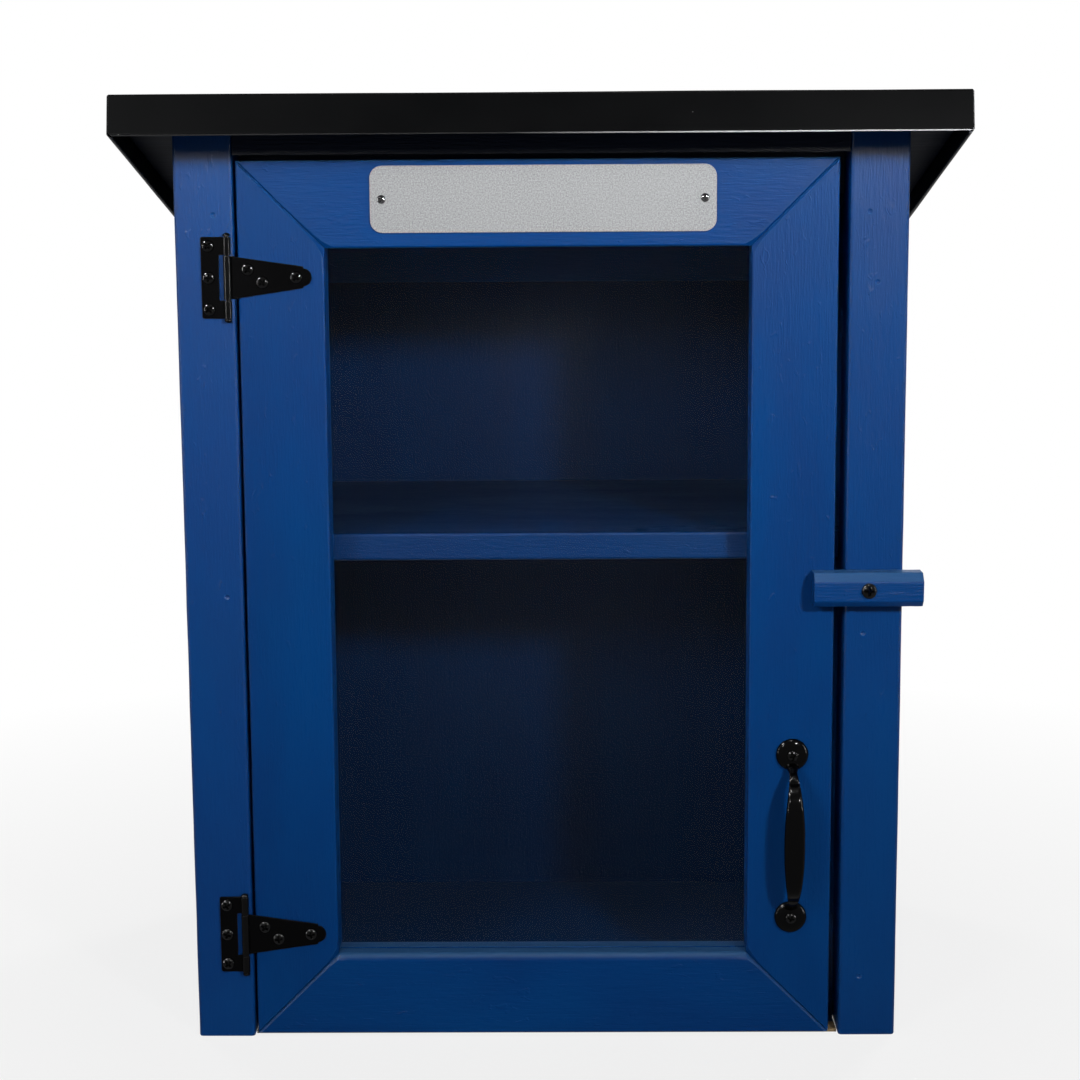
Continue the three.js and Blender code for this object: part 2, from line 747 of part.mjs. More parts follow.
export default exchangeBox;
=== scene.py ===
# %% [markdown]
# # A street book exchange box
# The box is a small cupboard on four posts, painted blue, with a sheet-metal roof, a glazed door on strap
# hinges, a turn button and a pull handle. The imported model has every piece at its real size. Pieces whose
# shape is already right only get a finish here. Those that are seen closely are modelled again, with eased
# edges, bends, domes and dents.

# %% Load the fixed frame
import json
import math
import random

import bmesh
import bpy
from mathutils import Matrix, Vector


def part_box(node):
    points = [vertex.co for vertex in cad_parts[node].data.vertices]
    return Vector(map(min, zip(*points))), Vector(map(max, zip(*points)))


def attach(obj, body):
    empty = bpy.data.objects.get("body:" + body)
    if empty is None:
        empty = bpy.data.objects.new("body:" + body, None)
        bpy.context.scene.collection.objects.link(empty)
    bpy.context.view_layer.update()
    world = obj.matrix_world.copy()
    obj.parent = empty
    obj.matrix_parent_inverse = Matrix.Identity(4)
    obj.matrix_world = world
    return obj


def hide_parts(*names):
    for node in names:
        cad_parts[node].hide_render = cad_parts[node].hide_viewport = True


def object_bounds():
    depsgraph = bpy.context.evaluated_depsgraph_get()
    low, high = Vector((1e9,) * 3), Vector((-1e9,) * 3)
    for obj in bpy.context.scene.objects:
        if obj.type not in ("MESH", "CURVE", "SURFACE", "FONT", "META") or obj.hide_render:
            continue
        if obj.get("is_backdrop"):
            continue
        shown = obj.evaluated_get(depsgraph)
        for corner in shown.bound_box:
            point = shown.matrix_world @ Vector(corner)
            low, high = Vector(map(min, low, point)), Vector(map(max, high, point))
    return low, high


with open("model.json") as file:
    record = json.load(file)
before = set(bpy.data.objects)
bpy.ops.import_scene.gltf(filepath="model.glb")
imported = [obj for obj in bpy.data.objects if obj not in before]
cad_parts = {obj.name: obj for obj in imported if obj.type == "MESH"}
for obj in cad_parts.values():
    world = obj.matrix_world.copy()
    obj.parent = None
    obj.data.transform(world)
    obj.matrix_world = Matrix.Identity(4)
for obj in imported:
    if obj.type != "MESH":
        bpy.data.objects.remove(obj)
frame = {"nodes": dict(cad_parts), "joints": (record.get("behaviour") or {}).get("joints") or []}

cad_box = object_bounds()
MM = 0.001
print("pieces in the frame:", len(frame["nodes"]))

# %% [markdown]
# ## The camera
# The camera was fitted to the straight edges of the photograph. It stands in front of the box, a little
# under the height of the roof, and looks down by nine degrees. It comes first, because all that follows is
# judged in it.

# %% Camera
CAMERA_PLACE = Vector((12.26, -1510.3, 539.4)) * MM
CAMERA_YAW = math.radians(-0.594)
CAMERA_PITCH = math.radians(9.016)
CAMERA_ROLL = math.radians(-0.367)
SENSOR_WIDTH = 36
FOCAL_LENGTH = 75.18

bpy.ops.object.camera_add()
camera = bpy.context.object
stance = Matrix.Translation(CAMERA_PLACE)
for angle, axis in ((-CAMERA_YAW, "Z"), (math.pi / 2 - CAMERA_PITCH, "X"), (CAMERA_ROLL, "Z")):
    stance = stance @ Matrix.Rotation(angle, 4, axis)
camera.matrix_world = stance
camera.data.sensor_width = SENSOR_WIDTH
camera.data.lens = FOCAL_LENGTH
bpy.context.scene.camera = camera
print("camera stands", round(CAMERA_PLACE.length, 2), "m from the origin")

# %% [markdown]
# ## Helpers for modelling
# A piece starts as a primitive at its size and place and is shaped in edit mode. An operator acts on all
# that is selected, so each helper first selects its own piece, and edges and faces are chosen by a test of
# their place. At the end a piece's place is applied, so that its object sits at the origin like those of
# the frame.


# %% Selecting and applying
def take(piece):
    """Make one piece the only selected and the active one."""
    bpy.ops.object.select_all(action="DESELECT")
    piece.select_set(True)
    bpy.context.view_layer.objects.active = piece


def settle(piece):
    """Move a piece's place, turn and scale into its mesh."""
    take(piece)
    bpy.ops.object.transform_apply(location=True, rotation=True, scale=True)
    return piece


def named(name):
    """Name the primitive that was just added and settle it."""
    piece = bpy.context.object
    piece.name = name
    piece.data.name = name
    return settle(piece)


def edit(piece):
    take(piece)
    bpy.ops.object.mode_set(mode="EDIT")


def leave():
    bpy.ops.object.mode_set(mode="OBJECT")


def choose_all():
    bpy.ops.mesh.select_all(action="SELECT")


def pull(way):
    bpy.ops.mesh.extrude_region_move(TRANSFORM_OT_translate={"value": way})


def stretch(shares, centre):
    bpy.ops.transform.resize(value=shares, center_override=centre)


# %% Choosing by a test
SELECT_MODES = {"verts": "VERT", "edges": "EDGE", "faces": "FACE"}


def choose(piece, kind, test):
    """In edit mode, select the vertices, edges or faces that pass a test, and count them."""
    bpy.ops.mesh.select_mode(type=SELECT_MODES[kind])
    bpy.ops.mesh.select_all(action="DESELECT")
    shape = bmesh.from_edit_mesh(piece.data)
    chosen = [item for item in getattr(shape, kind) if test(item)]
    for item in chosen:
        item.select_set(True)
    bmesh.update_edit_mesh(piece.data)
    return len(chosen)


# %% Tests of place and direction
ALONG = 0.99
STRAIGHT_ON = -0.9999


def runs_along(edge, axis):
    """True if an edge runs along X, Y or Z, numbered 0, 1 and 2."""
    way = edge.verts[1].co - edge.verts[0].co
    return abs(way[axis]) > ALONG * way.length


def middle(edge):
    return (edge.verts[0].co + edge.verts[1].co) / 2


def looks_down(face):
    return face.normal.z < -0.9


def on_straight_line(vert):
    """True for a vertex that only divides a straight edge in two."""
    if len(vert.link_edges) != 2:
        return False
    ways = [(edge.other_vert(vert).co - vert.co).normalized() for edge in vert.link_edges]
    return ways[0].dot(ways[1]) < STRAIGHT_ON


# %% Solids
NEAR = 0.02 * MM


def block(name, low, high):
    low, high = Vector(low), Vector(high)
    bpy.ops.mesh.primitive_cube_add(size=1, location=(low + high) / 2, scale=high - low)
    return named(name)


def turned(name, stations, facets):
    """A body turned on Z: a filled circle, extruded and resized from one (radius, height) to the next."""
    radius, height = stations[0]
    bpy.ops.mesh.primitive_circle_add(
        vertices=facets, radius=radius, fill_type="NGON", location=(0, 0, height)
    )
    piece = named(name)
    edit(piece)
    bpy.ops.mesh.select_mode(type="FACE")
    choose_all()
    for (radius, height), (next_radius, next_height) in zip(stations, stations[1:]):
        grow = next_radius / radius
        rise = next_height - height
        pull((0, 0, rise))
        stretch((grow, grow, 1), (0, 0, next_height))
    leave()
    face_outwards(piece)
    return piece


def dome(radius, base, rise, steps=5, open_share=0.12):
    """Stations of a dome that starts at its rim and ends in a small flat."""
    last = math.acos(open_share)
    turns = [last * step / steps for step in range(steps + 1)]
    return [(radius * math.cos(turn), base + rise * math.sin(turn)) for turn in turns]


def face_outwards(piece):
    edit(piece)
    choose_all()
    bpy.ops.mesh.remove_doubles(threshold=NEAR / 10)
    bpy.ops.mesh.normals_make_consistent(inside=False)
    leave()


# %% Cuts
def bevel_edges(piece, width, segments, test):
    """Bevel the edges that pass a test; one segment makes a chamfer, more make a round."""
    edit(piece)
    choose(piece, "edges", test)
    bpy.ops.mesh.bevel(offset=width, segments=segments, affect="EDGES")
    leave()


def cut_rings(piece, axis, cuts):
    """Divide the edges along an axis, so that the piece can waver between its ends."""
    edit(piece)
    choose(piece, "edges", lambda edge: runs_along(edge, axis))
    bpy.ops.mesh.subdivide(number_cuts=cuts)
    leave()


def slice_off(piece, point, normal):
    """Cut a piece by a plane, drop what lies on the side of the normal and close the cut."""
    edit(piece)
    choose_all()
    bpy.ops.mesh.bisect(plane_co=point, plane_no=normal, use_fill=True, clear_outer=True)
    leave()


# %% Modifiers and copies
def modify(piece, kind, **settings):
    take(piece)
    bpy.ops.object.modifier_add(type=kind)
    modifier = piece.modifiers[-1]
    for name, value in settings.items():
        setattr(modifier, name, value)
    bpy.ops.object.modifier_apply(modifier=modifier.name)


def combine(piece, tool, operation):
    """Join, cut or trim a piece by a tool, which is then used up."""
    modify(piece, "BOOLEAN", object=tool, operation=operation, solver="EXACT")
    bpy.data.objects.remove(tool)
    return piece


def copied(piece, name):
    take(piece)
    bpy.ops.object.duplicate(linked=False)
    copy = bpy.context.object
    copy.name = name
    copy.data.name = name
    return copy


def put(piece, matrix):
    """Turn and move a piece to its place and settle it there."""
    piece.matrix_world = matrix
    return settle(piece)


# %% Uneven surfaces and shading
HAND_WORK = bpy.data.textures.new("hand work", "CLOUDS")
HAND_WORK.noise_scale = 34 * MM
FINE_WORK = bpy.data.textures.new("fine work", "CLOUDS")
FINE_WORK.noise_scale = 7 * MM
SMOOTH_ANGLE = math.radians(32)
ARRIS_ANGLE = math.radians(38)
FLAT_ANGLE = math.radians(1)


def waver(piece, depth, texture=HAND_WORK):
    """Push the surface in and out a little, as planing, sanding and thick paint leave it."""
    modify(piece, "DISPLACE", texture=texture, texture_coords="LOCAL", strength=depth, mid_level=0.5)


def ease_arrises(piece, width, segments=2):
    modify(piece, "BEVEL", width=width, segments=segments, limit_method="ANGLE", angle_limit=ARRIS_ANGLE)


def shade(piece):
    """Smooth shading with flat faces kept flat."""
    face_outwards(piece)
    bpy.ops.object.shade_smooth_by_angle(angle=SMOOTH_ANGLE)
    modify(piece, "WEIGHTED_NORMAL", keep_sharp=True)


# %% Copies from the frame and the hand over of a piece
def refined(name, node, arris):
    """A merged copy of a piece of the frame with its arrises eased."""
    piece = copied(frame["nodes"][node], name)
    piece.parent = None
    for key in list(piece.keys()):
        del piece[key]
    edit(piece)
    choose_all()
    bpy.ops.mesh.remove_doubles(threshold=NEAR / 10)
    bpy.ops.mesh.dissolve_limited(angle_limit=FLAT_ANGLE)
    leave()
    ease_arrises(piece, arris)
    shade(piece)
    return piece


def fit(piece, body, slot, material, *nodes):
    """Give a new piece its finish, its body and the pieces of the frame that it stands for."""
    piece.data.materials.clear()
    piece.data.materials.append(material)
    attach(piece, body)
    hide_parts(*nodes)
    print(piece.name, "faces:", len(piece.data.polygons), "for", ", ".join(nodes))
    return piece


# %% [markdown]
# ## Shader groups
# Grain, brush strokes, worn edges and dust are used by more than one finish, so each is a node group. The
# groups read object coordinates, turned so that the grain runs along Z, and put out only masks and heights.
# The shaders stay in the materials. The id_data of a node or socket is the tree that it belongs to, so most
# helpers find their tree by it.


# %% Node helpers
def fill(node, inputs):
    """Give each input of a node a plain value, or the socket that feeds it."""
    for name, value in inputs.items():
        if isinstance(value, bpy.types.NodeSocket):
            node.id_data.links.new(value, node.inputs[name])
        else:
            node.inputs[name].default_value = value


def add(tree, kind, inputs=None, **settings):
    """Add a node to a tree, set it and fill its inputs."""
    made = tree.nodes.new("ShaderNode" + kind)
    for name, value in settings.items():
        setattr(made, name, value)
    fill(made, inputs or {})
    return made


def value_of(operation, first, second=0.0):
    return add(first.id_data, "Math", {0: first, 1: second}, operation=operation).outputs[0]


def product(first, second):
    return value_of("MULTIPLY", first, second)


def facing(tree, axis):
    """How far a surface looks along X, Y or Z, numbered 0, 1 and 2."""
    return add(tree, "SeparateXYZ", {0: add(tree, "NewGeometry").outputs["Normal"]}).outputs[axis]


def spread(value, low, high, to_low=0.0, to_high=1.0):
    """Map a range of values to another and clamp it."""
    ends = {"Value": value, "From Min": low, "From Max": high, "To Min": to_low, "To Max": to_high}
    return add(value.id_data, "MapRange", ends).outputs[0]


def blend(factor, first, second):
    """The first colour, or the second where the factor is 1."""
    return add(factor.id_data, "Mix", {0: factor, 6: first, 7: second}, data_type="RGBA").outputs[2]


def noise(vector, scale, detail=2.0, rough=0.5, distortion=0.0):
    pattern = {"Vector": vector, "Scale": scale, "Detail": detail}
    pattern.update({"Roughness": rough, "Distortion": distortion})
    return add(vector.id_data, "TexNoise", pattern).outputs[0]


def stretched(vector, share):
    """Coordinates in which a pattern is drawn out along Z."""
    return add(vector.id_data, "Mapping", {"Vector": vector, "Scale": (1.0, 1.0, share)}).outputs[0]


# %% Group helpers
def new_group(name, outputs, **values):
    """A group fed by a vector and by values, with its inputs and the node of its outputs."""
    tree = bpy.data.node_groups.new(name, "ShaderNodeTree")
    tree.interface.new_socket(name="Vector", in_out="INPUT", socket_type="NodeSocketVector")
    for socket, start in values.items():
        made = tree.interface.new_socket(name=socket, in_out="INPUT", socket_type="NodeSocketFloat")
        made.default_value = start
    for socket in outputs:
        tree.interface.new_socket(name=socket, in_out="OUTPUT", socket_type="NodeSocketFloat")
    given = tree.nodes.new("NodeGroupInput").outputs
    return tree, given, tree.nodes.new("NodeGroupOutput")


def use(group, vector, **values):
    """Place a group in the tree of a vector and give its outputs."""
    return add(vector.id_data, "Group", {"Vector": vector, **values}, node_tree=group).outputs


# %% [markdown]
# ### Wood grain
# Softwood shows long, wandering growth lines with fine fibres between them. A noise drawn out along the
# board gives smooth contours, and a sine turns them into lines, wider where the board is cut flat. A much
# finer noise gives the fibres.

# %% Wood grain group
tree, given, result = new_group("wood grain", ["Rings", "Fibres"], Scale=24.0, Lines=60.0)
board = noise(stretched(given["Vector"], 0.07), given["Scale"], 1.0, 0.4, 0.25)
waves = value_of("SINE", product(board, given["Lines"]))
fibres = noise(stretched(given["Vector"], 0.03), 1100.0, 2.0, 0.6)
fill(result, {"Rings": spread(waves, -0.6, 1.0), "Fibres": spread(fibres, 0.3, 0.7)})
wood_grain = tree

# %% [markdown]
# ### Brushed paint
# Paint brushed on along the board leaves shallow furrows, a fine pebbled skin and a few sags. They are
# heights here, at the scale of a brush's bristles and of the skin.

# %% Brushed paint group
tree, given, result = new_group("brushed paint", ["Furrows", "Skin", "Patches", "Sags"])
furrows = noise(stretched(given["Vector"], 0.09), 820.0, 3.0, 0.65, 0.3)
patches = noise(stretched(given["Vector"], 0.4), 14.0, 3.0, 0.55, 0.4)
sags = noise(stretched(given["Vector"], 0.45), 210.0, 2.0, 0.5, 0.8)
fill(result, {
    "Furrows": spread(furrows, 0.34, 0.72),
    "Skin": noise(given["Vector"], 780.0, 3.0, 0.6),
    "Patches": spread(patches, 0.35, 0.68),
    "Sags": spread(sags, 0.66, 0.76),
})
brushed_paint = tree

# %% [markdown]
# ### Edges
# Where two faces meet, the finishes paint a highlight, and the sign plate a darker rim as painted shade.
# The Bevel node gives the normal of a rounded edge, and where it leaves the true normal there is an edge.
# Noise breaks the mask, as wear does.

# %% Edge group
tree, given, result = new_group("edges", ["Edge", "Worn"], Width=0.9 * MM)
rounded = add(tree, "Bevel", {"Radius": given["Width"]}, samples=4).outputs[0]
true_normal = add(tree, "NewGeometry").outputs["Normal"]
likeness = add(tree, "VectorMath", {0: rounded, 1: true_normal}, operation="DOT_PRODUCT").outputs["Value"]
edge = spread(likeness, 0.995, 0.86)
spots = spread(noise(given["Vector"], 240.0, 3.0, 0.7), 0.6, 0.68)
fill(result, {"Edge": edge, "Worn": product(edge, spots)})
edges = tree

# %% [markdown]
# ### Dust and painted top light
# Dust settles on what faces up and gathers in soft patches. The height of the normal gives the first and a
# broad noise the second. A Voronoi pattern with a small threshold adds single specks. A last mask of what
# faces up is no dust: the blue paint uses it to paint light on tops.

# %% Dust and painted top light group
tree, given, result = new_group("dust", ["Film", "Specks", "Up"])
looks_up = facing(tree, 2)
cloud = spread(noise(given["Vector"], 26.0, 4.0, 0.6), 0.4, 0.75)
cells = add(tree, "TexVoronoi", {"Vector": given["Vector"], "Scale": 95.0}).outputs["Distance"]
rare = spread(noise(given["Vector"], 61.0, 0.0), 0.62, 0.66)
fill(result, {
    "Film": product(spread(looks_up, 0.5, 1.0), cloud),
    "Specks": product(spread(cells, 0.035, 0.02), rare),
    "Up": spread(looks_up, 0.35, 0.8),
})
dust = tree
print("shader groups:", ", ".join(group.name for group in bpy.data.node_groups))

# %% [markdown]
# ## Finishes
# Each finish is one Principled BSDF fed by the groups. Outdoor paint on wood reflects little straight on,
# so its specular level is low, and the lamps alone bring out the furrows near the top, where they are
# mirrored towards the camera.

# %% Finish helpers
GRAIN_TURNS = {"x": (0.0, math.pi / 2, 0.0), "y": (math.pi / 2, 0.0, 0.0), "z": (0.0, 0.0, 0.0)}


def new_finish(name):
    """An empty material with its shader and the object coordinates."""
    material = bpy.data.materials.new(name)
    material.use_nodes = True
    tree = material.node_tree
    shader = tree.nodes["Principled BSDF"]
    place = tree.nodes.new("ShaderNodeTexCoord").outputs["Object"]
    return material, tree, shader, place


def along_grain(place, axis):
    """Coordinates turned so that what runs along Z in them runs along an axis of the piece."""
    turn = {"Vector": place, "Rotation": GRAIN_TURNS[axis]}
    return add(place.id_data, "Mapping", turn).outputs[0]


def dress(shader, body, rough, normal, level):
    """Feed a shader its colour, roughness and normal and set its specular level."""
    inputs = {"Base Color": body, "Roughness": rough, "Normal": normal, "Specular IOR Level": level}
    fill(shader, inputs)


def paint_over(material, mask, colour):
    """Lay a colour over a finish where a mask is 1."""
    shader = material.node_tree.nodes["Principled BSDF"]
    below = shader.inputs["Base Color"].links[0].from_socket
    fill(shader, {"Base Color": blend(mask, below, colour)})


def bumps(*layers):
    """A chain of Bump nodes, each with (height, distance, strength)."""
    below = {}
    for height, distance, strength in layers:
        inputs = {"Height": height, "Distance": distance, "Strength": strength, **below}
        below = {"Normal": add(height.id_data, "Bump", inputs).outputs[0]}
    return below["Normal"]


# %% Blue paint
BLUE_DEEP = (0.0002, 0.032, 0.148, 1)
BLUE_FULL = (0.0005, 0.043, 0.180, 1)
BLUE_EDGE_HIGHLIGHT = (0.020, 0.095, 0.260, 1)
BLUE_TOP_LIGHT = (0.030, 0.100, 0.230, 1)
PRIMER = (0.30, 0.32, 0.33, 1)
EDGE_HIGHLIGHT_SHARE = 0.6
CHIP_SHARE = 0.5


def blue_paint(name, axis, painted_light=1.0, inner_painted_shade=1.0, top_light=0.8, level=0.036, relief=MM):
    """Brushed paint on softwood, grain along an axis, scaled as painted light and shade, all over and
    inside.
    """
    material, tree, shader, place = new_finish(name)
    run = along_grain(place, axis)
    grain = use(wood_grain, run)
    coat = use(brushed_paint, run)
    edge = use(edges, run)
    body = blend(coat["Patches"], BLUE_DEEP, BLUE_FULL)
    streaks = spread(coat["Furrows"], 0.45, 1.0, 0.0, 0.30)
    body = blend(streaks, body, BLUE_FULL)
    # Painted highlight: edges are lightened towards a paler blue.
    painted_edge_highlight = product(edge["Edge"], EDGE_HIGHLIGHT_SHARE)
    body = blend(painted_edge_highlight, body, BLUE_EDGE_HIGHLIGHT)
    chipped = spread(edge["Worn"], 0.62, 0.75)
    body = blend(product(chipped, CHIP_SHARE), body, PRIMER)
    # Painted light: faces that look up are lightened, as if lit from above.
    top_lit = product(use(dust, place)["Up"], top_light)
    body = blend(top_lit, body, BLUE_TOP_LIGHT)
    # Painted light and shade: the colour is scaled by a tone, and faces that look inwards by a lower one.
    flat = stretched(place, 0.0)
    looks = add(tree, "NewGeometry").outputs["Normal"]
    outward = add(tree, "VectorMath", {0: flat, 1: looks}, operation="DOT_PRODUCT").outputs["Value"]
    shown = spread(outward, 0.0, 0.02, inner_painted_shade * painted_light, painted_light)
    body = add(tree, "VectorMath", {0: body, "Scale": shown}, operation="SCALE").outputs[0]
    rough = spread(coat["Furrows"], 0.0, 1.0, 0.34, 0.27)
    rough = value_of("ADD", rough, spread(coat["Patches"], 0.0, 1.0, 0.06, -0.03))
    normal = bumps(
        (grain["Rings"], 0.10 * relief, 0.30),
        (grain["Fibres"], 0.06 * relief, 0.35),
        (coat["Furrows"], 0.16 * relief, 0.75),
        (coat["Sags"], 0.22 * relief, 0.8),
        (coat["Skin"], 0.09 * relief, 0.55),
    )
    dress(shader, body, rough, normal, level)
    return material


blue = {axis: blue_paint("blue paint along " + axis, axis) for axis in GRAIN_TURNS}
# Painted shade: the head rail under the roof is darkened nearly to black.
painted_shade_blue = blue_paint("blue paint with painted shade under the roof", "x", painted_light=0.07)
# Painted light: a brighter copy of the paint for the left front post.
painted_light_blue = blue_paint("blue paint with painted light", "z", painted_light=1.14, level=0.058)
glossy_blue = blue_paint("glossier blue paint", "z", level=0.05)
# Painted shade inside the box: the panels' inward faces are darker, the shelf darker all over and more
# inside.
panel_blue = blue_paint("blue paint on panels with painted shade inside", "z", inner_painted_shade=0.32, relief=0.35 * MM)
shelf_blue = blue_paint("blue paint on the shelf with painted shade", "x", painted_light=0.72, inner_painted_shade=0.45, top_light=0.0)
print("blue paints:", len(blue) + 5)

# %% [markdown]
# The floor is bare plywood: pale, warm and dry, with fine dark pores. The roof board underneath the sheet
# is nearly black, so only a faint grain shows.


# %% Bare and stained wood
WOOD_DUST = (0.35, 0.33, 0.30, 1)


def bare_wood(name, axis, dark, pale, roughness, level):
    material, tree, shader, place = new_finish(name)
    run = along_grain(place, axis)
    grain = use(wood_grain, run, Scale=34.0, Lines=90.0)
    body = blend(product(grain["Rings"], 0.6), pale, dark)
    pores = spread(grain["Fibres"], 0.25, 0.0, 0.0, 0.5)
    body = blend(pores, body, dark)
    film = use(dust, place)["Film"]
    body = blend(product(film, 0.15), body, WOOD_DUST)
    normal = bumps((grain["Fibres"], 0.12 * MM, 0.6), (grain["Rings"], 0.08 * MM, 0.3))
    rough = spread(grain["Fibres"], 0.0, 1.0, roughness + 0.08, roughness - 0.06)
    dress(shader, body, rough, normal, level)
    return material


raw_wood = bare_wood("bare plywood", "x", (0.24, 0.155, 0.075, 1), (0.42, 0.30, 0.17, 1), 0.75, 0.03)
BOARD_DEEP = (0.001, 0.0016, 0.003, 1)
BOARD_PALE = (0.003, 0.0045, 0.009, 1)
dark_board = bare_wood("nearly black roof board", "x", BOARD_DEEP, BOARD_PALE, 0.66, 0.03)
print("woods:", raw_wood.name + ",", dark_board.name)

# %% [markdown]
# The floor was painted with the rest once the case was together, so only its front edge, a strip under the
# door and its underside are bare. The mask is a step along Y, left out where the surface looks down.

# %% Painted floor
BARE_STRIP = (-0.118, -0.114)
# Painted shade: the floor's blue is darker than the paint outside, as inside the box.
SHADED_FLOOR_BLUE = (0.0005, 0.016, 0.065, 1)
tree = raw_wood.node_tree
deep = add(tree, "SeparateXYZ", {0: tree.nodes["Texture Coordinate"].outputs["Object"]}).outputs[1]
painted = product(spread(deep, *BARE_STRIP), spread(facing(tree, 2), -0.8, -0.4))
paint_over(raw_wood, painted, SHADED_FLOOR_BLUE)
print("bare up to", BARE_STRIP[0], "m from the middle")

# %% [markdown]
# The roof is black coated sheet. The coat is smooth with a very fine texture, its bends shine a little and
# are painted a little paler as a highlight, and outdoors it gathers dust and a few bright specks. The hinges
# have a similar coat on steel with a coarser skin, rubbed smooth on their barrels. All these coats are
# painted paler along their edges as a highlight. The screws shine more, those of the sign plate are bright
# metal, and the pull handle is glossy, nearly black enamel.

# %% Coated metals
METAL_DUST = (0.20, 0.19, 0.17, 1)
SPECK = (0.45, 0.45, 0.44, 1)


def coated_metal(name, colour, edge_highlight_tone, roughness, level, skin_scale, skin_depth, film_share):
    """A coat with a fine skin and a painted highlight along its edges, under a faint film of dust."""
    material, tree, shader, place = new_finish(name)
    dirt = use(dust, place)
    edge = use(edges, place, Width=0.5 * MM)
    skin = noise(place, skin_scale, 2.0, 0.6)
    sweep = noise(place, 9.0, 3.0, 0.6, 0.3)
    # Painted highlight: edges are blended towards a paler tone.
    body = blend(product(edge["Edge"], 0.5), (*colour, 1), (*edge_highlight_tone, 1))
    film = product(dirt["Film"], film_share)
    body = blend(film, body, METAL_DUST)
    body = blend(product(dirt["Specks"], 0.8), body, SPECK)
    rough = spread(sweep, 0.3, 0.7, roughness - 0.05, roughness + 0.06)
    rough = value_of("ADD", rough, product(film, 0.5))
    normal = bumps((skin, skin_depth * MM, 0.5))
    dress(shader, body, rough, normal, level)
    return material


# Colour, painted edge highlight, roughness, specular level, skin scale, skin depth in mm, share of dust.
METALS = {
    "black coated sheet": ((0.0011, 0.0012, 0.0014), (0.008, 0.008, 0.008), 0.31, 0.011, 1700.0, 0.02, 0.04),
    "black coated steel": ((0.0008, 0.0008, 0.0010), (0.05, 0.05, 0.052), 0.19, 0.022, 1400.0, 0.02, 0.03),
    "black screw": ((0.0008, 0.0008, 0.0010), (0.012, 0.012, 0.012), 0.08, 0.09, 2200.0, 0.004, 0.02),
    "rubbed black steel": ((0.001, 0.001, 0.0012), (0.05, 0.05, 0.05), 0.11, 0.055, 900.0, 0.003, 0.02),
    "bright screw": ((0.06, 0.06, 0.062), (0.12, 0.12, 0.12), 0.13, 0.5, 2200.0, 0.004, 0.02),
    "gloss black enamel": ((0.0006, 0.0006, 0.0008), (0.004, 0.004, 0.004), 0.11, 0.04, 500.0, 0.01, 0.02),
}
coats = [coated_metal(name, *values) for name, values in METALS.items()]
roof_sheet, black_steel, screw_black, rubbed_steel, bright_screw, gloss_black = coats
bright_screw.node_tree.nodes["Principled BSDF"].inputs["Metallic"].default_value = 0.8
print("metals:", ", ".join(METALS))

# %% [markdown]
# The roof's front hem carries a painted highlight in a pale metal colour, strongest to the right. The mask
# is the part of the front edge whose normal looks down, and it grows along X. The bend at the corner gets a
# painted highlight in the same way.

# %% Painted highlight on the hem
HEM_HIGHLIGHT = (0.80, 0.80, 0.82, 1)
HIGHLIGHT_FROM = -0.02
HIGHLIGHT_TO = 0.14
tree = roof_sheet.node_tree
spot = add(tree, "SeparateXYZ", {0: tree.nodes["Texture Coordinate"].outputs["Object"]}).outputs
down = facing(tree, 2)
front = facing(tree, 1)
# Painted highlight along the hem, strongest to the right, and down the bend at the corner.
rolled = product(spread(down, -0.30, -0.50), spread(spot[1], -0.186, -0.190))
rolled = product(rolled, spread(spot[0], HIGHLIGHT_FROM, HIGHLIGHT_TO, 0.04, 1.0))
bend = product(spread(spot[0], 0.2485, 0.2495), spread(front, -0.95, -0.8))
bend = product(bend, spread(front, -0.25, -0.45, 0.0, 0.22))
paint_over(roof_sheet, value_of("MAXIMUM", rolled, bend), HEM_HIGHLIGHT)
print("rubbed from", HIGHLIGHT_FROM, "m along X")

# %% [markdown]
# The sign plate is satin aluminium with a fine blasted grain and a rim darkened as painted shade. Its face
# is bare.

# %% Satin plate
PLATE_DARK = (0.135, 0.14, 0.145, 1)
PLATE_LIGHT = (0.285, 0.29, 0.295, 1)
PLATE_SMEAR = (0.23, 0.235, 0.24, 1)
PLATE_RIM_SHADE = (0.10, 0.11, 0.12, 1)
material, tree, shader, place = new_finish("satin plate")
blasted = noise(place, 1150.0, 2.0, 0.75)
soft = noise(place, 22.0, 3.0, 0.5)
body = blend(spread(blasted, 0.34, 0.66), PLATE_DARK, PLATE_LIGHT)
body = blend(spread(soft, 0.4, 0.7, 0.0, 0.25), body, PLATE_SMEAR)
# Painted shade: the plate is darkened along its rim.
rim = use(edges, place, Width=0.6 * MM)["Edge"]
body = blend(product(rim, 0.6), body, PLATE_RIM_SHADE)
normal = bumps((blasted, 0.04 * MM, 0.4))
rough = spread(blasted, 0.3, 0.7, 0.50, 0.60)
dress(shader, body, rough, normal, 0.12)
fill(shader, {"Metallic": 0.08})
satin_plate = material
print("finish:", satin_plate.name)

# %% [markdown]
# The pane is clear acrylic. Light from the lamps has to reach the inside of the box, so for shadow rays the
# glass gives way to a clear shader, chosen by Light Path in the material itself. Diffuse rays do the same,
# or a lamp would count twice, once through the clear shader and once through the glass.

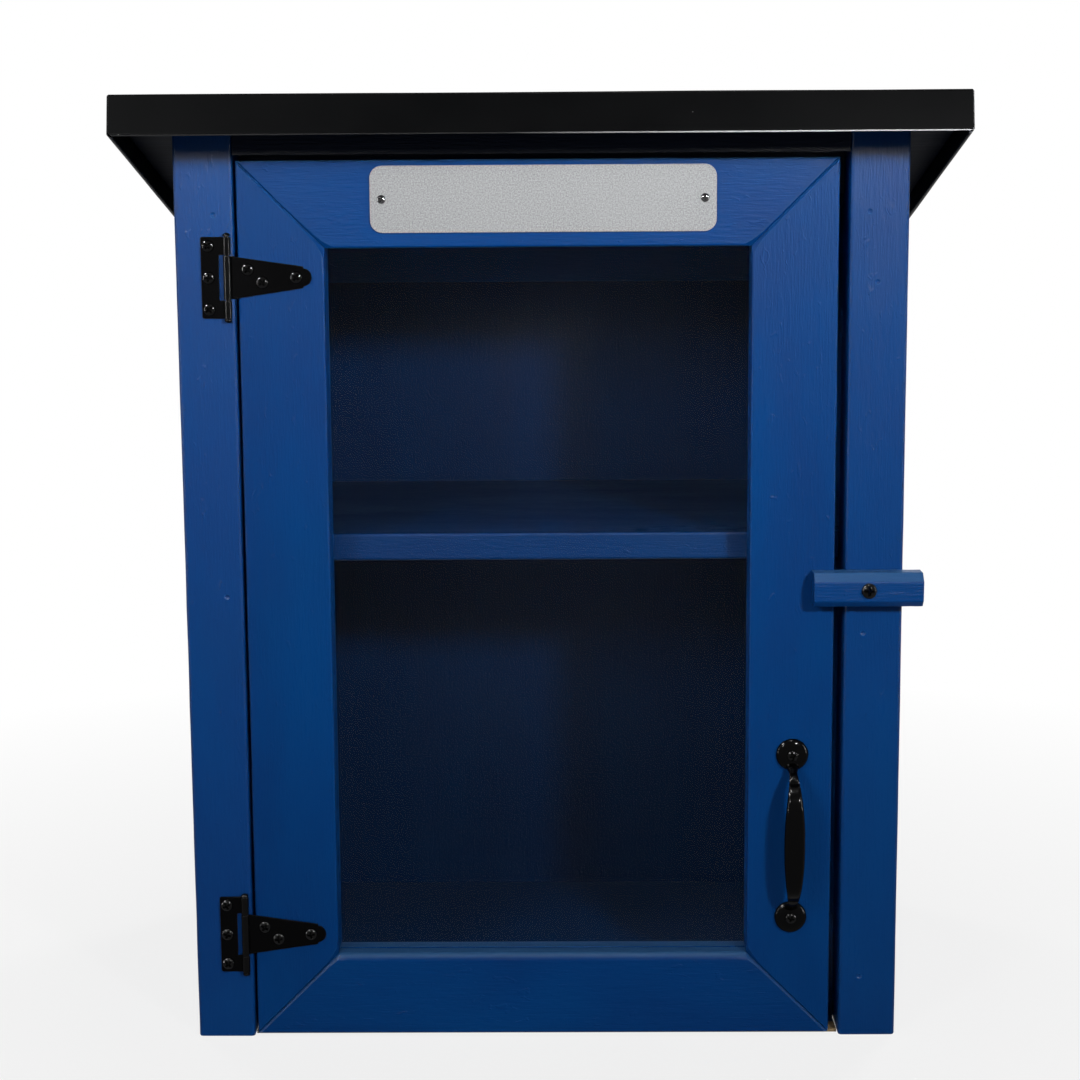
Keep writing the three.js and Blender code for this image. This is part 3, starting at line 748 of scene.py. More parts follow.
# %% Clear pane
material, tree, shader, place = new_finish("clear acrylic")
smear = noise(place, 7.0, 4.0, 0.6, 0.6)
fill(shader, {
    "Roughness": spread(smear, 0.35, 0.75, 0.015, 0.05),
    "Base Color": (0.985, 0.99, 0.99, 1),
    "Transmission Weight": 1.0,
    "IOR": 1.10,
    "Specular IOR Level": 0.5,
})
clear = add(tree, "BsdfTransparent", {"Color": (0.94, 0.95, 0.95, 1)}).outputs[0]
seen = shader.outputs[0]
paths = add(tree, "LightPath").outputs
for ray in ("Is Shadow Ray", "Is Diffuse Ray"):
    seen = add(tree, "MixShader", {0: paths[ray], 1: seen, 2: clear}).outputs[0]
tree.links.new(seen, tree.nodes["Material Output"].inputs["Surface"])
clear_pane = material
print("finishes:", len(bpy.data.materials))

# %% [markdown]
# ## Pieces that keep their shape
# Flat boards inside the case, the pane and the roof board are right as they are. They only need a finish
# whose grain runs along the board.

# %% Finishes on the frame's own pieces
finishes = {
    # Painted shade: the panels' faces that look inwards are darker.
    "side_panel_left": panel_blue,
    "side_panel_right": panel_blue,
    "back_panel": panel_blue,
    # Painted shade: the head rail is darkened as under the roof.
    "head_rail": painted_shade_blue,
    "back_rail": blue["x"],
    "shelf_cleat_left": blue["y"],
    "shelf_cleat_right": blue["y"],
    "floor_panel": raw_wood,
    "roof_deck": dark_board,
    "pane": clear_pane,
}
for node, material in finishes.items():
    materials = frame["nodes"][node].data.materials
    materials.clear()
    materials.append(material)
print("pieces that only get a finish:", len(finishes))

# %% [markdown]
# ## Corner posts
# The posts are square softwood with slightly rounded edges, cut to the slope of the roof at the top. A post
# starts as a block, gets its rounded edges and rings of edges along its length, and wavers by a tenth of a
# millimetre or two, as a planed and painted stick does. Nail heads were set and painted over on the front
# faces, so small round dents are cut there.

# %% Roof slope
ROOF_PITCH = math.radians(12.8)
roof_normal = Vector((0, math.sin(ROOF_PITCH), math.cos(ROOF_PITCH)))
POST_EDGE = 2.5 * MM
POST_END = 1.2 * MM
POST_RINGS = 44
BOARD_WAVER = 0.35 * MM
DENT_REACH = 1.7 * MM
DENT_DEPTH = 0.7 * MM
DENT_FACETS = 28
dent_radius = (DENT_REACH**2 + DENT_DEPTH**2) / (2 * DENT_DEPTH)
print("dents are cut by a ball of", round(dent_radius / MM, 1), "mm radius")


# %% Posts and their dents
def dent(piece, x, z):
    """Cut a shallow round dent into the front face of a post."""
    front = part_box("post_front_left")[0].y
    centre = (x, front + DENT_DEPTH - dent_radius, z)
    bpy.ops.mesh.primitive_uv_sphere_add(
        segments=DENT_FACETS, ring_count=DENT_FACETS, radius=dent_radius, location=centre
    )
    combine(piece, named("dent"), "DIFFERENCE")


def corner_post(name, node, dents=(), paint=blue["z"]):
    low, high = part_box(node)
    piece = block(name, low, high + Vector((0, 0, POST_EDGE)))
    bevel_edges(piece, POST_EDGE, 4, lambda edge: runs_along(edge, 2))
    cut_rings(piece, 2, POST_RINGS)
    waver(piece, BOARD_WAVER)
    slice_off(piece, Vector((0, low.y, high.z)), roof_normal)
    bevel_edges(piece, POST_END, 2, lambda edge: max(v.co.z for v in edge.verts) < low.z + BOARD_WAVER)
    for x, z in dents:
        dent(piece, x * MM, z * MM)
    shade(piece)
    return fit(piece, "case", "blue_paint", paint, node)


# The left front post gets the paint with painted light; the right one a glossier copy.
corner_post("left_front_post", "post_front_left", [(-198.4, 521.0), (-196.5, 286.3)], painted_light_blue)
right_dents = [(198.2, 520.8), (199.2, 39.3), (198.1, 261.7), (203.6, 478.5)]
corner_post("right_front_post", "post_front_right", right_dents, glossy_blue)
corner_post("left_back_post", "post_back_left")
corner_post("right_back_post", "post_back_right")

# %% [markdown]
# ## Door frame
# The door is four lengths of one thick board, mitred at the corners. Its section, with two rounded front
# edges and a rebate behind for the pane, is drawn as a face: a plane is cut by lines, the waste is deleted
# and two corners are rounded. It is extruded to the length of the member, wavers a little, and is cut at
# 45 degrees at both ends. Sanding wears a mitre most at its inner corner, so a long tapered cutter makes
# each one a groove that widens there.

# %% Door sizes
INNER_ROUND = 1.6 * MM
SILL_ROUND = 5 * MM
OUTER_ROUND = 1.5 * MM
REBATE_WIDTH = 9 * MM
REBATE_DEPTH = 15 * MM
MITRE_GAP = 0.15 * MM
MITRE_EASE = 0.3 * MM
GROOVE_STATIONS = [(4.4, -3), (3.3, 0), (2.3, 4), (1.7, 10), (1.35, 25), (1.15, 78)]
GROOVE_DEPTH_SHARE = 0.85
MEMBER_RINGS = 30
rail_low, rail_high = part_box("door_rail_bottom")
outer_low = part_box("door_stile_left")[0]
outer_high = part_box("door_stile_right")[1]
door_low = Vector((outer_low.x, outer_low.y, rail_low.z))
door_high = Vector((outer_high.x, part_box("pane_bead_top")[1].y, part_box("door_rail_top")[1].z))
member_width = rail_high.z - rail_low.z
door_size = door_high - door_low
member_depth = door_size.y
print("door", [round(side / MM, 1) for side in door_size], "mm")
print("members", round(member_width / MM, 1), "mm wide")


# %% Section and mitres
def member_section(name, inner_round):
    """The member's section as one face: Y is its depth and Z its width from the outer edge."""
    bpy.ops.mesh.primitive_plane_add(size=1, rotation=(0, math.pi / 2, 0), location=(0, 0.5, 0.5))
    piece = named(name)
    edit(piece)
    choose_all()
    stretch((1, member_depth, member_width), (0, 0, 0))
    rebate_start = member_width - REBATE_WIDTH
    rebate_front = member_depth - REBATE_DEPTH
    for point, normal in (((0, 0, rebate_start), (0, 0, 1)), ((0, rebate_front, 0), (0, 1, 0))):
        choose_all()
        bpy.ops.mesh.bisect(plane_co=point, plane_no=normal)

    def waste(face):
        centre = face.calc_center_median()
        return centre.z > rebate_start and centre.y > rebate_front

    choose(piece, "faces", waste)
    bpy.ops.mesh.delete(type="FACE")
    choose_all()
    bpy.ops.mesh.dissolve_faces()
    choose(piece, "verts", on_straight_line)
    bpy.ops.mesh.dissolve_verts()
    inner_corner = Vector((0, 0, member_width))
    choose(piece, "verts", lambda vert: (vert.co - inner_corner).length < NEAR)
    bpy.ops.mesh.bevel(offset=inner_round, segments=6, affect="VERTICES")
    choose(piece, "verts", lambda vert: vert.co.length < NEAR)
    bpy.ops.mesh.bevel(offset=OUTER_ROUND, segments=4, affect="VERTICES")
    leave()
    return piece


def mitre_groove(piece, corner, sides):
    """Open a mitre from the front, along the diagonal from the inner corner of the door's frame."""
    cutter = turned("mitre groove", [(width * MM, reach * MM) for width, reach in GROOVE_STATIONS], 4)
    outwards = Vector((sides[0], 0, sides[1])).normalized()
    deep = Vector((0, 1, 0))
    across = deep.cross(outwards)
    turn = Matrix((across, deep * GROOVE_DEPTH_SHARE, outwards)).transposed().to_4x4()
    inner = corner - Vector((sides[0], 0, sides[1])) * member_width
    put(cutter, Matrix.Translation(inner) @ turn)
    combine(piece, cutter, "DIFFERENCE")


# %% Four members
def door_member(name, node, turns):
    """Extrude the section, cut its mitres and turn it to its side of the door."""
    length = door_size.z if turns % 2 else door_size.x
    piece = member_section(name, SILL_ROUND if turns == 0 else INNER_ROUND)
    edit(piece)
    bpy.ops.mesh.select_mode(type="FACE")
    choose_all()
    pull((length, 0, 0))
    leave()
    face_outwards(piece)
    cut_rings(piece, 0, MEMBER_RINGS)
    waver(piece, BOARD_WAVER)
    slice_off(piece, (MITRE_GAP, 0, 0), (-1, 0, 1))
    slice_off(piece, (length - MITRE_GAP, 0, 0), (1, 0, 1))
    ease_arrises(piece, MITRE_EASE)
    corner = Matrix.Translation(door_corners[turns][0])
    put(piece, corner @ Matrix.Rotation(-turns * math.pi / 2, 4, "Y"))
    for end in (turns, turns + 1):
        mitre_groove(piece, *door_corners[end % 4])
    shade(piece)
    return fit(piece, "door", "blue_paint", blue["xz"[turns % 2]], node)


ends = {-1: door_low, 1: door_high}
door_corners = []
for x, z in ((-1, -1), (1, -1), (1, 1), (-1, 1)):
    door_corners.append((Vector((ends[x].x, door_low.y, ends[z].z)), (x, z)))
door_member("bottom_rail", "door_rail_bottom", 0)
door_member("right_stile", "door_stile_right", 1)
door_member("top_rail", "door_rail_top", 2)
door_member("left_stile", "door_stile_left", 3)

# %% [markdown]
# The shelf and the beads behind the pane are boards whose arrises only need easing, so each is a merged
# copy of its piece in the frame with a small bevel.

# %% Boards with eased arrises
# The shelf's paint carries painted shade, as inside the box.
fit(refined("shelf_board", "shelf", 0.8 * MM), "case", "blue_paint", shelf_blue, "shelf")
for side, axis in (("top", "x"), ("bottom", "x"), ("left", "z"), ("right", "z")):
    node = "pane_bead_" + side
    fit(refined(side + "_glazing_bead", node, 0.4 * MM), "door", "blue_paint", blue[axis], node)

# %% [markdown]
# ## Roof cap
# The cap is one sheet folded down on four sides, with its lower edge rolled in to a hem. It is made flat
# and tilted at the end. A block loses its bottom, its edges become bends, and its top gets rings of edges
# so that the sheet can swell. Each lower edge is then extruded along a half circle and up again, shorter at
# each step, so that the hems meet at the corners in a small notch. Solidify gives the sheet its thickness.

# %% Roof sizes
SHEET = 0.9 * MM
BEND = 1.4 * MM
SKIRT = 24.3 * MM
HEM_ROLL = 1.3 * MM
HEM_RISE = 6.0 * MM
HEM_STEPS = 6
HEM_NOTCH = 1.25
SHEET_RINGS = 16
SHEET_SWELL = 0.5 * MM
cap_low, cap_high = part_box("roof_cap")
roof_edge = Vector((0, cap_low.y + SKIRT * math.sin(ROOF_PITCH), cap_high.z))
cap_length = (cap_high.y - cap_low.y - SKIRT * math.sin(ROOF_PITCH)) / math.cos(ROOF_PITCH)
cap_reach = cap_high.x
print("roof cap", round(2 * cap_reach / MM, 1), "x", round(cap_length / MM, 1), "mm along the slope")

# %% Folded sheet
cap = block("folded_roof_cap", (-cap_reach, 0, HEM_ROLL - SKIRT), (cap_reach, cap_length, 0))
edit(cap)
choose(cap, "faces", looks_down)
bpy.ops.mesh.delete(type="ONLY_FACE")
leave()
skirt_foot = HEM_ROLL - SKIRT
bevel_edges(cap, BEND, 4, lambda edge: middle(edge).z > skirt_foot + NEAR)
edit(cap)
choose(cap, "edges", lambda edge: edge.calc_length() > BEND * 3 and not runs_along(edge, 2))
bpy.ops.mesh.subdivide(number_cuts=SHEET_RINGS)
leave()


def hem(piece, axis, side):
    """Roll in the lower edge on one side and turn it up inside the skirt."""
    centre = Vector((0, cap_length / 2, 0))
    half = cap_reach if axis == 0 else cap_length / 2
    run = cap_length / 2 if axis == 0 else cap_reach
    across = 1 - axis
    edit(piece)

    def lower_edge(edge):
        place = middle(edge) - centre
        at_foot = abs(place.z - skirt_foot) < NEAR
        return at_foot and runs_along(edge, across) and abs(place[axis] - side * half) < NEAR

    choose(piece, "edges", lower_edge)
    inset, drop = 0.0, 0.0
    turns = [math.pi * step / HEM_STEPS for step in range(1, HEM_STEPS + 1)]
    stations = [(HEM_ROLL * (1 - math.cos(turn)), HEM_ROLL * math.sin(turn)) for turn in turns]
    stations.append((2 * HEM_ROLL, -HEM_RISE))
    for next_inset, next_drop in stations:
        step = [0.0, 0.0, drop - next_drop]
        step[axis] = -side * (next_inset - inset)
        shorter = [1.0, 1.0, 1.0]
        shorter[across] = (run - HEM_NOTCH * next_inset - BEND) / (run - HEM_NOTCH * inset - BEND)
        bpy.ops.mesh.extrude_edges_move(TRANSFORM_OT_translate={"value": step})
        stretch(shorter, centre)
        inset, drop = next_inset, next_drop
    leave()


# %% Hems and thickness
for axis in (0, 1):
    for side in (-1, 1):
        hem(cap, axis, side)
face_outwards(cap)
SWELL = bpy.data.textures.new("sheet swell", "CLOUDS")
SWELL.noise_scale = 120 * MM
waver(cap, SHEET_SWELL, SWELL)
modify(cap, "SOLIDIFY", thickness=SHEET, offset=-1, use_even_offset=True)
put(cap, Matrix.Translation(roof_edge) @ Matrix.Rotation(-ROOF_PITCH, 4, "X"))
shade(cap)
fit(cap, "case", "roof_sheet", roof_sheet, "roof_cap")

# %% [markdown]
# ## Screws
# All screws are domed pan heads with a cross recess, cut by two tapered bars. One is turned for each kind.
# The frame gives each screw's place, and each copy is turned by a random angle, since nobody lines up the
# crosses.

# %% One screw of each kind
SCREW_FACETS = 32
RIM_SHARE = 0.30
POINT_SHARE = 0.15
TAPER_LENGTH = 2.5
RECESS_LOW = Vector((-0.84, -0.29, -0.10))
RECESS_HIGH = Vector((0.84, 0.29, 1.5))
RECESS_TAPER = (0.5, 0.08, 1)
turner = random.Random(11)


def recess_bar(head, rise):
    """A bar that narrows towards the bottom of the recess, from its shares of the head's radius and rise."""
    size = Vector((head, head, rise))
    bar = block("recess", RECESS_LOW * size, RECESS_HIGH * size)
    edit(bar)
    choose(bar, "faces", looks_down)
    stretch(RECESS_TAPER, (0, 0, RECESS_LOW.z * rise))
    leave()
    return bar


def pan_screw(name, head, rise, shank, length):
    """A screw whose head sits on z = 0."""
    rim = rise * RIM_SHARE
    point = [(shank * POINT_SHARE, -length), (shank, shank * TAPER_LENGTH - length)]
    stations = point + [(shank, 0), (head, 0)] + dome(head, rim, rise - rim, 6, 0.10)
    piece = turned(name, stations, SCREW_FACETS)
    for quarter in (0, 1):
        bar = put(recess_bar(head, rise), Matrix.Rotation(quarter * math.pi / 2, 4, "Z"))
        combine(piece, bar, "DIFFERENCE")
    return piece


# Each kind's radius of the head, rise of the head, radius of the shank and length, in millimetres.
SCREW_KINDS = {
    "hinge": (3.7, 1.9, 1.6, 15),
    "sign": (2.6, 1.4, 1.2, 11),
    "handle": (3.4, 1.9, 1.7, 18),
    "button": (4.7, 2.9, 2.2, 40),
    "roof": (3.2, 1.8, 1.3, 14),
}
patterns = {}
for kind, sizes in SCREW_KINDS.items():
    patterns[kind] = pan_screw(kind + "_screw_pattern", *(size * MM for size in sizes))
    print(kind, "screw faces:", len(patterns[kind].data.polygons))


# %% Screws in their places
def drive_screw(kind, node, body, name, side=0):
    """Drive in a screw from the front, or from the left or right where side is -1 or 1."""
    low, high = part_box(node)
    rise = SCREW_KINDS[kind][1] * MM
    seat = (low + high) / 2
    if side:
        seat.x = (high.x if side > 0 else low.x) - side * rise
        turn = Matrix.Rotation(side * math.pi / 2, 4, "Y")
    else:
        seat.y = low.y + rise
        turn = Matrix.Rotation(math.pi / 2, 4, "X")
    spin = Matrix.Rotation(turner.uniform(0, math.pi / 2), 4, "Z")
    piece = put(copied(patterns[kind], name), Matrix.Translation(seat) @ turn @ spin)
    shade(piece)
    fit(piece, body, "black_steel", bright_screw if kind == "sign" else screw_black, node)


for height in ("upper", "lower"):
    for number in (1, 2, 3):
        drive_screw("hinge", f"leaf_screw_{height}_{number}", "case", f"{height}_leaf_screw_{number}")
        drive_screw("hinge", f"strap_screw_{height}_{number}", "door", f"{height}_strap_screw_{number}")
    drive_screw("handle", f"handle_screw_{height}", "door", f"{height}_handle_screw")
for side in ("left", "right"):
    drive_screw("sign", f"sign_screw_{side}", "door", f"{side}_sign_screw")
drive_screw("button", "turn_button_screw", "case", "button_screw")
for number in range(1, 7):
    node = f"roof_screw_{number}"
    side = 1 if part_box(node)[0].x > 0 else -1
    drive_screw("roof", node, "case", f"cap_screw_{number}", side)
for pattern in patterns.values():
    bpy.data.objects.remove(pattern)

# %% [markdown]
# ## Hinges
# Each hinge is two stamped plates whose ends are rolled round a pin. The strap on the door fills the notch
# of the leaf with its own knuckle, tapers and ends in a rounded point. A knuckle is a turned barrel joined
# to its plate, and a bore runs through all. The upper hinge is modelled and copied to the lower place.

# %% Hinge sizes
PLATE = 1.1 * MM
BARREL = 2.4 * MM
BORE = 1.55 * MM
BARREL_RIM = 0.6 * MM
LEAF_CORNER = 1.3 * MM
LEAF_NOTCH = 5.2 * MM
KNUCKLE_GAP = 0.4 * MM
TIP_SHOULDER = 1.3 * MM
STAMPED_EDGE = 0.28 * MM
BARREL_FACETS = 40
RIM_CORNER = 0.3
NECK_HEIGHT = 13.2 * MM
TIP_STEP = 0.4 * MM
TIP_TURN = math.radians(86)
TIP_STEPS = 7
hinge_axis = Vector(frame["joints"][0]["pos_m"])
leaf_low, leaf_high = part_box("hinge_leaf_upper")
strap_low, strap_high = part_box("hinge_strap_upper")
hinge_height = (leaf_low.z + leaf_high.z) / 2
lower_height = sum(corner.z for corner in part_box("hinge_leaf_lower")) / 2
hinge_drop = Matrix.Translation((0, 0, lower_height - hinge_height))
plate_back = leaf_high.y
plate_front = plate_back - PLATE
print("hinge pins are", round((hinge_height - lower_height) / MM, 1), "mm apart")


# %% Barrels and plates
def barrel(name, bottom, top, radius=BARREL, rim=BARREL_RIM):
    """A rod on the hinge's axis with rounded rims."""
    profile = [(rim, 0), (rim * RIM_CORNER, rim * RIM_CORNER), (0, rim)]
    stations = [(radius - inset, bottom + rise) for inset, rise in profile]
    stations += [(radius - inset, top - rise) for inset, rise in reversed(profile)]
    piece = turned(name, stations, BARREL_FACETS)
    return put(piece, Matrix.Translation((hinge_axis.x, hinge_axis.y, 0)))


def bored(piece, bottom, top):
    return combine(piece, barrel("bore", bottom - BARREL, top + BARREL, BORE, NEAR), "DIFFERENCE")


def plate(name, left, right, low, high):
    """A stamped plate, as thick as the hinge's steel."""
    return block(name, (left, plate_front, low), (right, plate_back, high))


# %% Leaf
leaf = plate("upper_hinge_leaf", leaf_low.x, hinge_axis.x, leaf_low.z, leaf_high.z)
bevel_edges(leaf, LEAF_CORNER, 4, lambda edge: runs_along(edge, 1) and middle(edge).x < leaf_low.x + NEAR)
notch_low = Vector((hinge_axis.x - LEAF_NOTCH, plate_front - PLATE, strap_low.z - KNUCKLE_GAP))
notch_high = Vector((hinge_axis.x + PLATE, plate_back + PLATE, strap_high.z + KNUCKLE_GAP))
combine(leaf, block("notch", notch_low, notch_high), "DIFFERENCE")
ease_arrises(leaf, STAMPED_EDGE)
combine(leaf, barrel("lower knuckle", leaf_low.z, notch_low.z), "UNION")
combine(leaf, barrel("upper knuckle", notch_high.z, leaf_high.z), "UNION")
bored(leaf, leaf_low.z, leaf_high.z)
print("leaf faces:", len(leaf.data.polygons))

# %% Strap
tip_radius = NECK_HEIGHT / 2 - TIP_SHOULDER
neck_x = strap_high.x - tip_radius
steps = [(0.0, NECK_HEIGHT / (strap_high.z - strap_low.z)), (TIP_STEP, 2 * tip_radius / NECK_HEIGHT)]
turns = [TIP_TURN * step / TIP_STEPS for step in range(TIP_STEPS + 1)]
for turn, next_turn in zip(turns, turns[1:]):
    reach = (tip_radius - TIP_STEP) * (math.sin(next_turn) - math.sin(turn))
    steps.append((reach, math.cos(next_turn) / math.cos(turn)))
strap = plate("upper_hinge_strap", hinge_axis.x, neck_x, strap_low.z, strap_high.z)
edit(strap)
choose(strap, "faces", lambda face: face.normal.x > 0.9)
for reach, shrink in steps:
    if reach:
        pull((reach, 0, 0))
    stretch((1, 1, shrink), (neck_x, 0, hinge_height))
leave()
face_outwards(strap)
ease_arrises(strap, STAMPED_EDGE)
combine(strap, barrel("strap knuckle", strap_low.z, strap_high.z), "UNION")
bored(strap, strap_low.z, strap_high.z)
print("strap faces:", len(strap.data.polygons))

# %% Hinge pin
PIN = 1.3 * MM
PIN_HEAD = 2.3 * MM
PIN_NECK = 1.9 * MM
PIN_HEAD_RISE = 2.2 * MM
PIN_HEAD_RIM = 0.7 * MM
PIN_HEAD_EDGE = 0.3 * MM
pin_low, pin_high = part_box("hinge_pin_upper")
seat = pin_low.z + PIN_HEAD_RISE
bulge = dome(PIN_HEAD, PIN_HEAD_RIM, PIN_HEAD_RISE - PIN_HEAD_RIM)
foot = [(radius, seat - height) for radius, height in reversed(bulge)]
foot += [(PIN_HEAD, seat - PIN_HEAD_EDGE), (PIN_NECK, seat)]
crown = [(radius, pin_low.z + pin_high.z - height) for radius, height in reversed(foot)]
rod = [(PIN, foot[-1][1]), (PIN, crown[0][1])]
pin = turned("upper_hinge_pin", foot + rod + crown, SCREW_FACETS)
put(pin, Matrix.Translation((hinge_axis.x, hinge_axis.y, 0)))
print("pin", round((pin_high.z - pin_low.z) / MM, 1), "mm long")

# %% [markdown]
# The barrels and pins rub as the door turns, so their faces take a second, smoother finish. They are the
# faces in front of the plates whose middle is no further from the hinge's axis than the barrel's radius.


# %% Both hinges
def on_barrel(face):
    """True for a face of the rolled barrel or the pin."""
    centre = face.calc_center_median()
    from_axis = math.hypot(centre.x - hinge_axis.x, centre.y - hinge_axis.y)
    return from_axis < BARREL + NEAR and centre.y < plate_front


parts = [(leaf, "hinge_leaf", "case"), (strap, "hinge_strap", "door"), (pin, "hinge_pin", "case")]
for piece, stem, body in parts:
    lower = put(copied(piece, "lower_" + stem), hinge_drop)
    for part, height in ((piece, "upper"), (lower, "lower")):
        shade(part)
        fit(part, body, "black_steel", black_steel, f"{stem}_{height}")
        part.data.materials.append(rubbed_steel)
        edit(part)
        choose(part, "faces", on_barrel)
        part.active_material_index = 1
        bpy.ops.object.material_slot_assign()
        leave()

# %% [markdown]
# ## Sign plate
# A thin plate with rounded corners on two screws. It carries nothing, so its fine grain and the line of
# light on its eased edge have to make it look like metal.

# %% Sign plate
sign = refined("blank_sign_plate", "sign_plate", 0.3 * MM)
fit(sign, "door", "satin_plate", satin_plate, "sign_plate")

# %% [markdown]
# ## Pull handle
# The handle is one casting: two domed rosettes and a grip that leaves each in a flared collar, narrows to
# a neck and swells to a broad bar with a flat front. Its section is a circle with the front cut flat,
# extruded from station to station along the bow and resized on the way.

# %% Handle sizes
ROSETTE_PROFILE = [(9.8, 0), (10.1, 0.3), (10.1, 1.1), (9.8, 1.8), (9.2, 2.4), (8.3, 2.9)]
ROSETTE_PROFILE += [(6.8, 3.3), (5.4, 3.52), (4.4, 3.6), (3.0, 3.6)]
ROSETTE = 10.1 * MM
ROSETTE_RISE = 3.6 * MM
ROSETTE_FACETS = 64
GRIP_STEPS = 34
GRIP_RISE = 21 * MM
BOW_POWER = 6.5
ROOT_INSET = 6.6 * MM
GRIP_WIDTH = 13.0 * MM
GRIP_THICKNESS = 6.8 * MM
NECK_WIDTH = 4.6 * MM
NECK_THICKNESS = 5.0 * MM
COLLAR_WIDTH = 9.0 * MM
COLLAR_THICKNESS = 7.0 * MM
NECK_SHARE = 0.93
SWELL_POWER = 2.2
FACET_SHARE = 0.72
GRIP_FACETS = 28
handle_low, handle_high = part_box("pull_handle")
handle_x = (handle_low.x + handle_high.x) / 2
handle_z = (handle_low.z + handle_high.z) / 2
handle_back = handle_high.y
screw_rise = handle_high.z - ROSETTE - handle_z
print("handle screws are", round(2 * screw_rise / MM, 1), "mm apart")


# %% Course of the bow
def smooth(share):
    share = min(max(share, 0.0), 1.0)
    return share * share * (3 - 2 * share)


def grip_station(share):
    """Where the bow is at a share from -1 to 1 of its half length, with its slope, width and thickness."""
    span = screw_rise - ROOT_INSET
    out = GRIP_RISE * (1 - abs(share) ** BOW_POWER)
    fall = BOW_POWER * GRIP_RISE * abs(share) ** (BOW_POWER - 1)
    slope = math.atan2(math.copysign(fall, share), span)
    swell = max(0.0, 1 - (abs(share) / NECK_SHARE) ** SWELL_POWER)
    flare = smooth((abs(share) - NECK_SHARE) / (1 - NECK_SHARE))
    width = NECK_WIDTH + (GRIP_WIDTH - NECK_WIDTH) * swell + (COLLAR_WIDTH - NECK_WIDTH) * flare
    thick = NECK_THICKNESS + (GRIP_THICKNESS - NECK_THICKNESS) * swell
    thick += (COLLAR_THICKNESS - NECK_THICKNESS) * flare
    return Vector((0, -out, span * share)), slope, width, thick


# %% Grip
bpy.ops.mesh.primitive_circle_add(vertices=GRIP_FACETS, radius=0.5, fill_type="NGON")
grip = named("grip")
edit(grip)
choose(grip, "verts", lambda vert: vert.co.y < -0.5 * FACET_SHARE)
stretch((1, 0, 1), (0, -0.5 * FACET_SHARE, 0))
centre, slope, width, thick = grip_station(-1)
choose_all()
stretch((width, thick, 1), (0, 0, 0))
bpy.ops.transform.rotate(value=-slope, orient_axis="X", center_override=(0, 0, 0))
bpy.ops.transform.translate(value=centre)
bpy.ops.mesh.select_mode(type="FACE")
for step in range(1, GRIP_STEPS + 1):
    share = 2 * step / GRIP_STEPS - 1
    next_centre, next_slope, next_width, next_thick = grip_station(share)
    pull(next_centre - centre)
    bpy.ops.transform.rotate(value=slope - next_slope, orient_axis="X", center_override=next_centre)
    grow = (next_width / width, next_thick / thick, next_thick / thick)
    stretch(grow, next_centre)
    centre, slope, width, thick = next_centre, next_slope, next_width, next_thick
leave()
face_outwards(grip)
put(grip, Matrix.Translation((0, -ROSETTE_RISE / 2, 0)))
print("grip faces:", len(grip.data.polygons))

# %% Rosettes and the whole handle
rosette_stations = [(radius * MM, height * MM) for radius, height in ROSETTE_PROFILE]
handle = grip
for side in (-1, 1):
    rosette = turned("rosette", rosette_stations, ROSETTE_FACETS)
    put(rosette, Matrix.Translation((0, 0, side * screw_rise)) @ Matrix.Rotation(math.pi / 2, 4, "X"))
    combine(handle, rosette, "UNION")
handle.name = "bow_handle"
put(handle, Matrix.Translation((handle_x, handle_back, handle_z)))
shade(handle)
fit(handle, "door", "gloss_black", gloss_black, "pull_handle")

# %% [markdown]
# ## Turn button
# The button is a short stick with its two long front edges planed off. It was cut by hand, so its faces
# waver more than a board's. It turns on one screw.

# %% Turn button
BUTTON_CHAMFER = 5.2 * MM
BUTTON_LOWER_CHAMFER = 3.7 * MM
BUTTON_ARRIS = 0.7 * MM
BUTTON_RINGS = 18
BUTTON_WAVER = 0.5 * MM
button_low, button_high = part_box("turn_button")
button = block("wooden_turn_button", button_low, button_high)


def long_front_edge(edge, z):
    place = middle(edge)
    return runs_along(edge, 0) and place.y < button_low.y + NEAR and abs(place.z - z) < NEAR


bevel_edges(button, BUTTON_CHAMFER, 1, lambda edge: long_front_edge(edge, button_high.z))
bevel_edges(button, BUTTON_LOWER_CHAMFER, 1, lambda edge: long_front_edge(edge, button_low.z))
ease_arrises(button, BUTTON_ARRIS, 3)
cut_rings(button, 0, BUTTON_RINGS)
waver(button, BUTTON_WAVER, FINE_WORK)
shade(button)
fit(button, "turn_button", "blue_paint", blue["x"], "turn_button")

# %% [markdown]
# ## Floor and light
# The floor is a pale plane. Near the box it is lit as it is and keeps the box's shadow. Further out it
# fades to plain white for camera, mirror and glass rays, as the world does, so no horizon shows.


# %% Floor
def seen_directly(tree):
    """1 for camera, mirror and glass rays, and 0 for those that carry light."""
    paths = add(tree, "LightPath").outputs
    seen = value_of("MAXIMUM", paths["Is Camera Ray"], paths["Is Glossy Ray"])
    return value_of("MAXIMUM", seen, paths["Is Transmission Ray"])


bpy.ops.mesh.primitive_plane_add(size=16, location=(0, 0, -0.1 * MM))
floor = named("floor")
floor_material, tree, shader, place = new_finish("pale floor")
distance = add(tree, "VectorMath", {0: place}, operation="LENGTH").outputs["Value"]
fade = spread(distance, 0.30, 0.95, 0.82, 1.0)
seen = seen_directly(tree)
white = add(tree, "Emission", {"Color": (1, 1, 1, 1), "Strength": 1.0}).outputs[0]
paper = noise(place, 300.0, 2.0, 0.5)
colour = blend(paper, (0.44, 0.44, 0.44, 1), (0.50, 0.50, 0.49, 1))
fill(shader, {"Base Color": colour, "Roughness": 0.8, "Specular IOR Level": 0.1})
share = product(fade, seen)
faded = add(tree, "MixShader", {0: share, 1: shader.outputs[0], 2: white}).outputs[0]
tree.links.new(faded, tree.nodes["Material Output"].inputs["Surface"])
floor.data.materials.append(floor_material)
floor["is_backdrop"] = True
print("floor at", round(floor.data.vertices[0].co.z / MM, 2), "mm")

